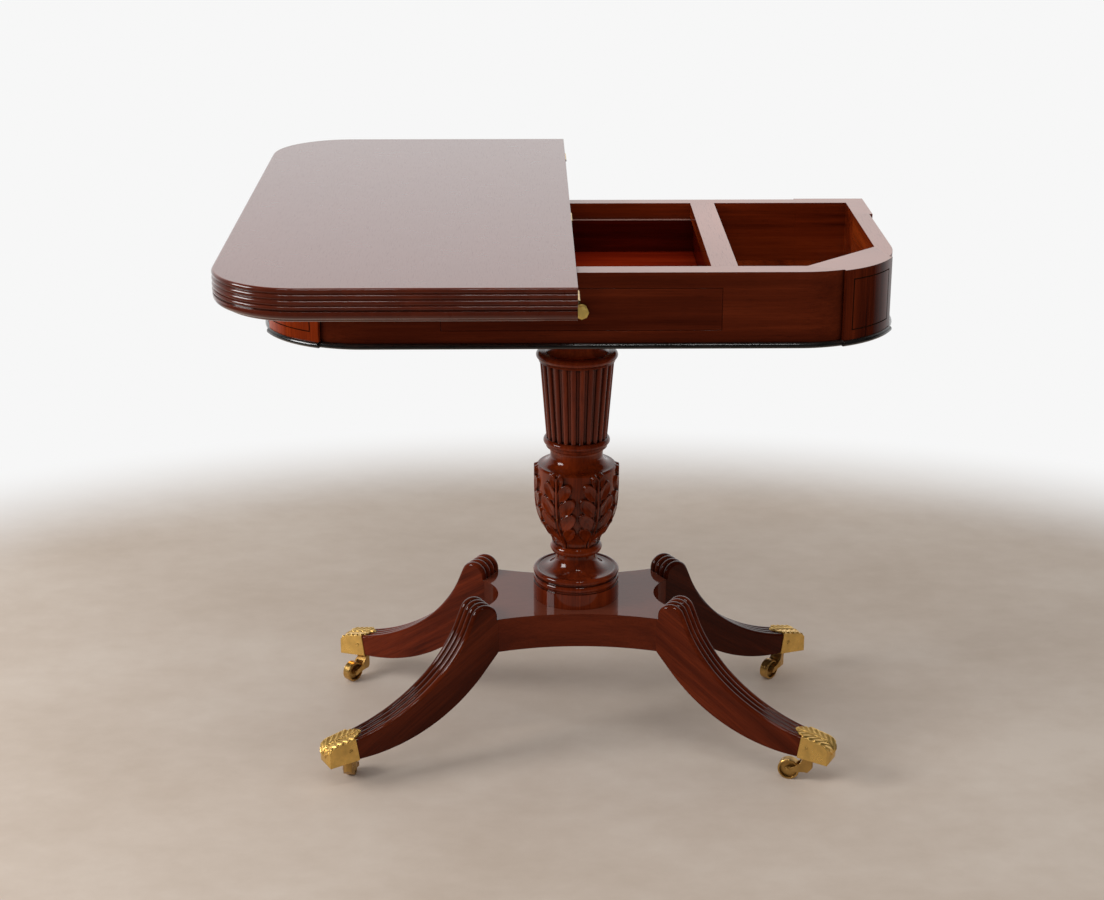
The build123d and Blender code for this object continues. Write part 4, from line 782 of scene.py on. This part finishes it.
def cap_path():
    """Points of distance and height from the tongue's tip over the cap's top and down its nose."""
    points = list(tip_points)
    top_distance, top_height = tip_points[-1]
    for step in range(1, cap_top_steps + 1):
        run, fall = cap_top_run * step / cap_top_steps, cap_top_fall * step / cap_top_steps
        points.append((top_distance + run, top_height - fall))
    centre, radius = arc_through(*nose_points)
    start, stop = [atan2(point[1] - centre[1], point[0] - centre[0]) for point in (nose_points[0], nose_stop)]
    for step in range(1, nose_steps + 1):
        angle = start + (stop - start) * step / nose_steps
        points.append((centre[0] + radius * cos(angle), centre[1] + radius * sin(angle)))
    return points


def resampled(points, count):
    """The path at equal steps, as point, outward normal and distance along it, and its length."""
    lengths = [0.0]
    for (ax, ay), (bx, by) in zip(points, points[1:]):
        lengths.append(lengths[-1] + hypot(bx - ax, by - ay))
    even = []
    for number in range(count):
        target = lengths[-1] * number / (count - 1)
        segment = max(index for index in range(len(points) - 1) if lengths[index] <= target + 1e-9)
        (ax, ay), (bx, by) = points[segment], points[segment + 1]
        share = (target - lengths[segment]) / (lengths[segment + 1] - lengths[segment])
        even.append(((ax + (bx - ax) * share, ay + (by - ay) * share), target))
    result = []
    for number, (point, distance) in enumerate(even):
        before = even[max(number - 2, 0)][0]
        after = even[min(number + 2, count - 1)][0]
        dx, dy = after[0] - before[0], after[1] - before[1]
        size = hypot(dx, dy)
        result.append((point, (-dy / size, dx / size), distance))
    return result, lengths[-1]


def cast_half(distance, from_nose):
    """Half width of the casting, pointed at its tip, scalloped along its sides and narrow on the nose."""
    full = cast_half_width - stem_narrowing * smooth_step(stem_narrowing_length, 0.0, from_nose)
    nose_pull = 1.0 - stem_pull_share * smooth_step(stem_pull_length, 0.0, from_nose)
    point = min(1.0, (distance + tip_start) / tip_length) ** tip_power
    wave = abs(cos(pi * (from_nose - scallop_start) / blade_pitch))
    return full * point * (1.0 - scallop_share * wave ** scallop_power) * nose_pull


def cast_lift(share, across, distance, from_nose):
    """Height of the casting above the cap, at a share of its half width, sunk at its edges and ends."""
    wrap = ((from_nose - blade_lean * abs(across)) / blade_pitch) % 1.0
    blade = smooth_step(0.0, blade_rise_end, wrap)
    blade *= 1.0 - blade_fall_share * smooth_step(blade_fall_start, 1.0, wrap)
    outer = smooth_step(blade_outer_low, blade_outer_high, abs(share))
    outward = blade_inner_share + (1.0 - blade_inner_share) * outer
    rib = 1.0 - smooth_step(cast_rib_inner, cast_rib_outer, abs(across))
    groove = cast_groove * exp(-((abs(across) - cast_groove_place) / cast_groove_width) ** 2)
    edge = 1.0 - smooth_step(cast_edge_share, 1.0, abs(share))
    relief = max(blade_height * blade * outward - groove, cast_rib_height * rib)
    end = smooth_step(0.0, tip_blend, distance) * smooth_step(0.0, stem_blend, from_nose)
    if edge <= 0.0:
        return -cast_edge_sunk
    return -cast_sunk + (cast_sunk + cast_thickness + relief * edge) * end


def cap_leaf(corner):
    """Lobed leaf over the top of a cap, its tip lying on the leg and its stem down the nose."""
    path, total = resampled(cap_path(), cast_rows)
    place = leg_matrix(corner)
    vertices = []
    for (s, z), (ns, nz), distance in path:
        from_nose = total - distance
        half = cast_half(distance, from_nose)
        for column in range(cast_columns):
            share = -1.0 + 2.0 * column / (cast_columns - 1)
            across = share * half
            drop = cap_curve * max(abs(across) - cap_flat_half, 0.0) ** 2
            lift = cast_lift(share, across, distance, from_nose) - drop
            vertices.append(tuple(place @ Vector((s + ns * lift, across, z + nz * lift))))
    faces = [face[::-1] for face in grid_faces(cast_rows, cast_columns, False)]
    piece("toe_cap_leaf_" + corner, vertices, faces, cap_brass, "stand", cast_angle)


for corner in corners:
    cap_leaf(corner)


# Slotted screws

slot_share, slot_depth, head_columns, head_lines, rim_segments, head_angle = 0.17, 0.55, 13, 6, 32, 30.0
# Radius, dome and skirt of a screw head
hinge_head = (2.8, 0.06, 0.3)
cap_head = (3.0, 0.75, 0.4)
hinge_screw_x, hinge_screw_offsets, hinge_head_sunk, upper_head_turn = -20.0, (-16.0, 0.0, 16.0), 0.02, 40.0
cap_screw_distance, cap_screw_side, cap_screw_height = 219.27, 17.78, 54.97
screw_turns = (12.0, 77.0, 140.0, 35.0, 160.0, 98.0, 58.0, 121.0, 5.0)


def slotted_head(radius, dome, skirt, place, turn):
    """Vertices and faces of a screw head with a slot across it, its rim turned down by the skirt."""
    half_slot = radius * slot_share
    cheek_steps = [(radius - half_slot) * step / head_lines for step in range(head_lines + 1)]
    lines = [(-radius + step, 0.0) for step in cheek_steps]
    lines += [(-half_slot, slot_depth), (half_slot, slot_depth)]
    lines += [(half_slot + step, 0.0) for step in cheek_steps]
    spin = place @ Matrix.Rotation(radians(turn), 4, "Z")
    vertices = []
    for x, sunk in lines:
        reach = sqrt(max(radius * radius - x * x, 0.0))
        for step in range(head_columns):
            y = -reach + 2 * reach * step / (head_columns - 1)
            level = dome * (1.0 - (x * x + y * y) / (radius * radius)) - sunk
            vertices.append(tuple(spin @ Vector((x, y, level))))
    faces = [face[::-1] for face in grid_faces(len(lines), head_columns, False)]
    start = len(vertices)
    for level in (-skirt, 0.0):
        for step in range(rim_segments):
            angle = 2 * pi * step / rim_segments
            vertices.append(tuple(spin @ Vector((radius * cos(angle), radius * sin(angle), level))))
    faces += [tuple(start + index for index in face) for face in grid_faces(2, rim_segments, True)]
    return vertices, faces


def slotted_heads(name, heads, material, body):
    """One piece with every head in the list, each given as radius, dome, skirt, place and turn."""
    vertices, faces = [], []
    for head in heads:
        more_vertices, more_faces = slotted_head(*head)
        start = len(vertices)
        vertices += more_vertices
        faces += [tuple(start + index for index in face) for face in more_faces]
    return piece(name, vertices, faces, material, body, head_angle)


flip = Matrix.Rotation(pi, 4, "X")
lower_heads, upper_heads = [], []
for number, centre in enumerate(hinge_places):
    for step, offset in enumerate(hinge_screw_offsets):
        turn = screw_turns[(3 * number + step) % len(screw_turns)]
        low = Matrix.Translation((hinge_screw_x, centre + offset, leaf_gap_low + hinge_head_sunk))
        high = Matrix.Translation((hinge_screw_x, centre + offset, leaf_gap_high - hinge_head_sunk)) @ flip
        lower_heads.append((*hinge_head, low, turn))
        upper_heads.append((*hinge_head, high, turn + upper_head_turn))
slotted_heads("hinge_screws_lower", lower_heads, hinge_brass, "lower_top")
slotted_heads("hinge_screws_upper", upper_heads, hinge_brass, "upper_top")

cap_heads = []
for number, corner in enumerate(corners):
    for side in (-1, 1):
        middle = Matrix.Translation((cap_screw_distance, side * cap_screw_side, cap_screw_height))
        cheek = middle @ Matrix.Rotation(radians(-side * 90.0), 4, "X")
        cap_heads.append((*cap_head, leg_matrix(corner) @ cheek, screw_turns[2 * number + (side > 0)]))
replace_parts(slotted_heads("slotted_cap_screws", cap_heads, cap_brass, "stand"), "toe_cap_screws")


# Floor, light and camera, in metres

floor_radius, floor_facets = 9.0, 96
floor_oval, floor_fade_start, floor_fade_end = (0.74, 1.0, 0.0), 0.88, 1.34
floor_cloud_scale, floor_fine_scale = (2.2, 3.1, 1.0), (24.0, 30.0, 1.0)
floor_cloud_settings, floor_fine_settings, floor_shares = (4.0, 0.6), (4.0, 0.65), (0.75, 0.25)
floor_strength, floor_depth, floor_roughness, floor_specular = 0.05, 0.002, 0.62, 0.2
floor_stops = [(0.36, (0.560, 0.463, 0.380)), (0.50, (0.607, 0.510, 0.427)), (0.64, (0.655, 0.563, 0.480))]
# What polish mirrors of the floor, by the place from front to back: darkening near by and brightness far off
near_darkening = (-0.6, 0.1, 0.55, 0.0)
far_mirrored = (0.2, 1.7, 0.02, 0.95)
# Brightness of the background, of the light that it gives, and of what polish mirrors of it by Y and by Z
backdrop, ambient = 0.93, 0.58
sky_by_depth = (0.25, 0.85, 0.01, 0.92)
sky_by_height = (0.42, 0.75, 1.0, 0.12)
white, pale_grey, black = (1.0, 1.0, 1.0, 1.0), (0.8, 0.8, 0.8, 1.0), (0.0, 0.0, 0.0, 1.0)
# Window and lamps: brightness in watts per square metre and steradian
window_place, window_target = (-2.5, -0.7, 1.55), (0.0, 0.0, 0.5)
window_width, window_height, window_radiance = 1.1, 1.0, 11.0
lamp_places = ((-1.05, -1.5, 2.65), (-0.55, -1.55, 2.7), (0.0, -1.45, 2.75), (0.5, -1.3, 2.8))
lamp_target, lamp_width, lamp_height, lamp_radiance = (0.0, 0.0, 0.4), 0.42, 0.18, 14.0
# Camera as fitted to the photo, its angles in radians
camera_place, camera_lens, camera_sensor = (-0.07206, -2.75417, 1.37416), 69.97, 36.0
camera_tilt, camera_roll, camera_turn = radians(70.77), -0.0006, -0.0138


def near_floor(tree, coords, depth, rays):
    """Mottled pale floor, darker where the front of it is mirrored in polish."""
    cloud = noise(tree, scaled(tree, coords, floor_cloud_scale), *floor_cloud_settings)
    fine = noise(tree, scaled(tree, coords, floor_fine_scale), *floor_fine_settings)
    colour = ramp(tree, weighted(tree, (cloud, fine), floor_shares), floor_stops)
    shade = maths(tree, "MULTIPLY", rays["Is Glossy Ray"], spread(tree, depth, *near_darkening))
    colour = blend(tree, "MIX", shade, colour, black)
    bump = add(tree, "ShaderNodeBump", {"Strength": floor_strength, "Distance": floor_depth, "Height": fine})
    inputs = {"Base Color": colour, "Roughness": floor_roughness, "Normal": bump.outputs[0]}
    inputs["Specular IOR Level"] = floor_specular
    return add(tree, "ShaderNodeBsdfPrincipled", inputs).outputs[0]


def far_floor(tree, depth, rays):
    """Floor that fades into the background where it is seen or mirrored, and is plain to other rays."""
    direct = maths(tree, "MAXIMUM", rays["Is Camera Ray"], rays["Is Transmission Ray"])
    seen = maths(tree, "MAXIMUM", direct, rays["Is Glossy Ray"])
    mirrored = spread(tree, depth, *far_mirrored)
    strength = add(tree, "ShaderNodeMix", {0: direct, 2: mirrored, 3: backdrop}).outputs[0]
    plain = add(tree, "ShaderNodeBsdfDiffuse", {"Color": pale_grey})
    bright = add(tree, "ShaderNodeEmission", {"Color": white, "Strength": strength})
    return add(tree, "ShaderNodeMixShader", {0: seen, 1: plain.outputs[0], 2: bright.outputs[0]}).outputs[0]


def floor_material():
    material, tree = new_material("floor")
    coords = add(tree, "ShaderNodeTexCoord").outputs["Object"]
    rays = add(tree, "ShaderNodeLightPath").outputs
    depth = add(tree, "ShaderNodeSeparateXYZ", {"Vector": coords}).outputs["Y"]
    flat = scaled(tree, coords, floor_oval)
    reach = add(tree, "ShaderNodeVectorMath", {0: flat}, operation="LENGTH").outputs["Value"]
    inputs = {"Value": reach, "From Min": floor_fade_start, "From Max": floor_fade_end}
    fade = add(tree, "ShaderNodeMapRange", inputs, interpolation_type="SMOOTHSTEP").outputs["Result"]
    shaders = {0: fade, 1: near_floor(tree, coords, depth, rays), 2: far_floor(tree, depth, rays)}
    both = add(tree, "ShaderNodeMixShader", shaders)
    add(tree, "ShaderNodeOutputMaterial", {"Surface": both.outputs[0]})
    return material


def make_floor():
    mesh = bpy.data.meshes.new("floor")
    turns = [2 * pi * step / floor_facets for step in range(floor_facets)]
    points = [(floor_radius * cos(turn), floor_radius * sin(turn), 0.0) for turn in turns]
    mesh.from_pydata(points, [], [tuple(range(floor_facets))])
    mesh.materials.append(floor_material())
    item = bpy.data.objects.new("floor", mesh)
    collection.objects.link(item)


def make_world():
    world = bpy.data.worlds.new("studio")
    world.use_nodes = True
    tree = world.node_tree
    tree.nodes.clear()
    rays = add(tree, "ShaderNodeLightPath").outputs
    way = add(tree, "ShaderNodeTexCoord").outputs["Generated"]
    parts = add(tree, "ShaderNodeSeparateXYZ", {"Vector": way}).outputs
    mirror_light = spread(tree, parts["Y"], *sky_by_depth)
    mirror_light = maths(tree, "MULTIPLY", mirror_light, spread(tree, parts["Z"], *sky_by_height))
    seen = maths(tree, "MAXIMUM", rays["Is Camera Ray"], rays["Is Transmission Ray"])
    strength = add(tree, "ShaderNodeMix", {0: rays["Is Glossy Ray"], 2: ambient, 3: mirror_light}).outputs[0]
    strength = add(tree, "ShaderNodeMix", {0: seen, 2: strength, 3: backdrop}).outputs[0]
    shader = add(tree, "ShaderNodeBackground", {"Color": white, "Strength": strength})
    add(tree, "ShaderNodeOutputWorld", {"Surface": shader.outputs[0]})
    scene.world = world


def area_light(name, place, target, width, height, radiance):
    """White rectangular light of a given brightness, facing a point."""
    data = bpy.data.lights.new(name, "AREA")
    data.shape = "RECTANGLE"
    data.size, data.size_y = width, height
    data.energy = radiance * pi * width * height
    item = bpy.data.objects.new(name, data)
    collection.objects.link(item)
    item.location = place
    item.rotation_euler = (Vector(target) - Vector(place)).to_track_quat("-Z", "Y").to_euler()
    item.visible_camera = False


make_floor()
make_world()
area_light("window", window_place, window_target, window_width, window_height, window_radiance)
for number, place in enumerate(lamp_places):
    area_light(f"ceiling_lamp_{number}", place, lamp_target, lamp_width, lamp_height, lamp_radiance)

camera_data = bpy.data.cameras.new("camera")
camera_data.lens = camera_lens
camera_data.sensor_fit = "HORIZONTAL"
camera_data.sensor_width = camera_sensor
camera = bpy.data.objects.new("camera", camera_data)
collection.objects.link(camera)
camera.location = camera_place
camera.rotation_euler = Euler((camera_tilt, camera_roll, camera_turn), "XYZ")
scene.camera = camera
scene.view_settings.view_transform = "Standard"
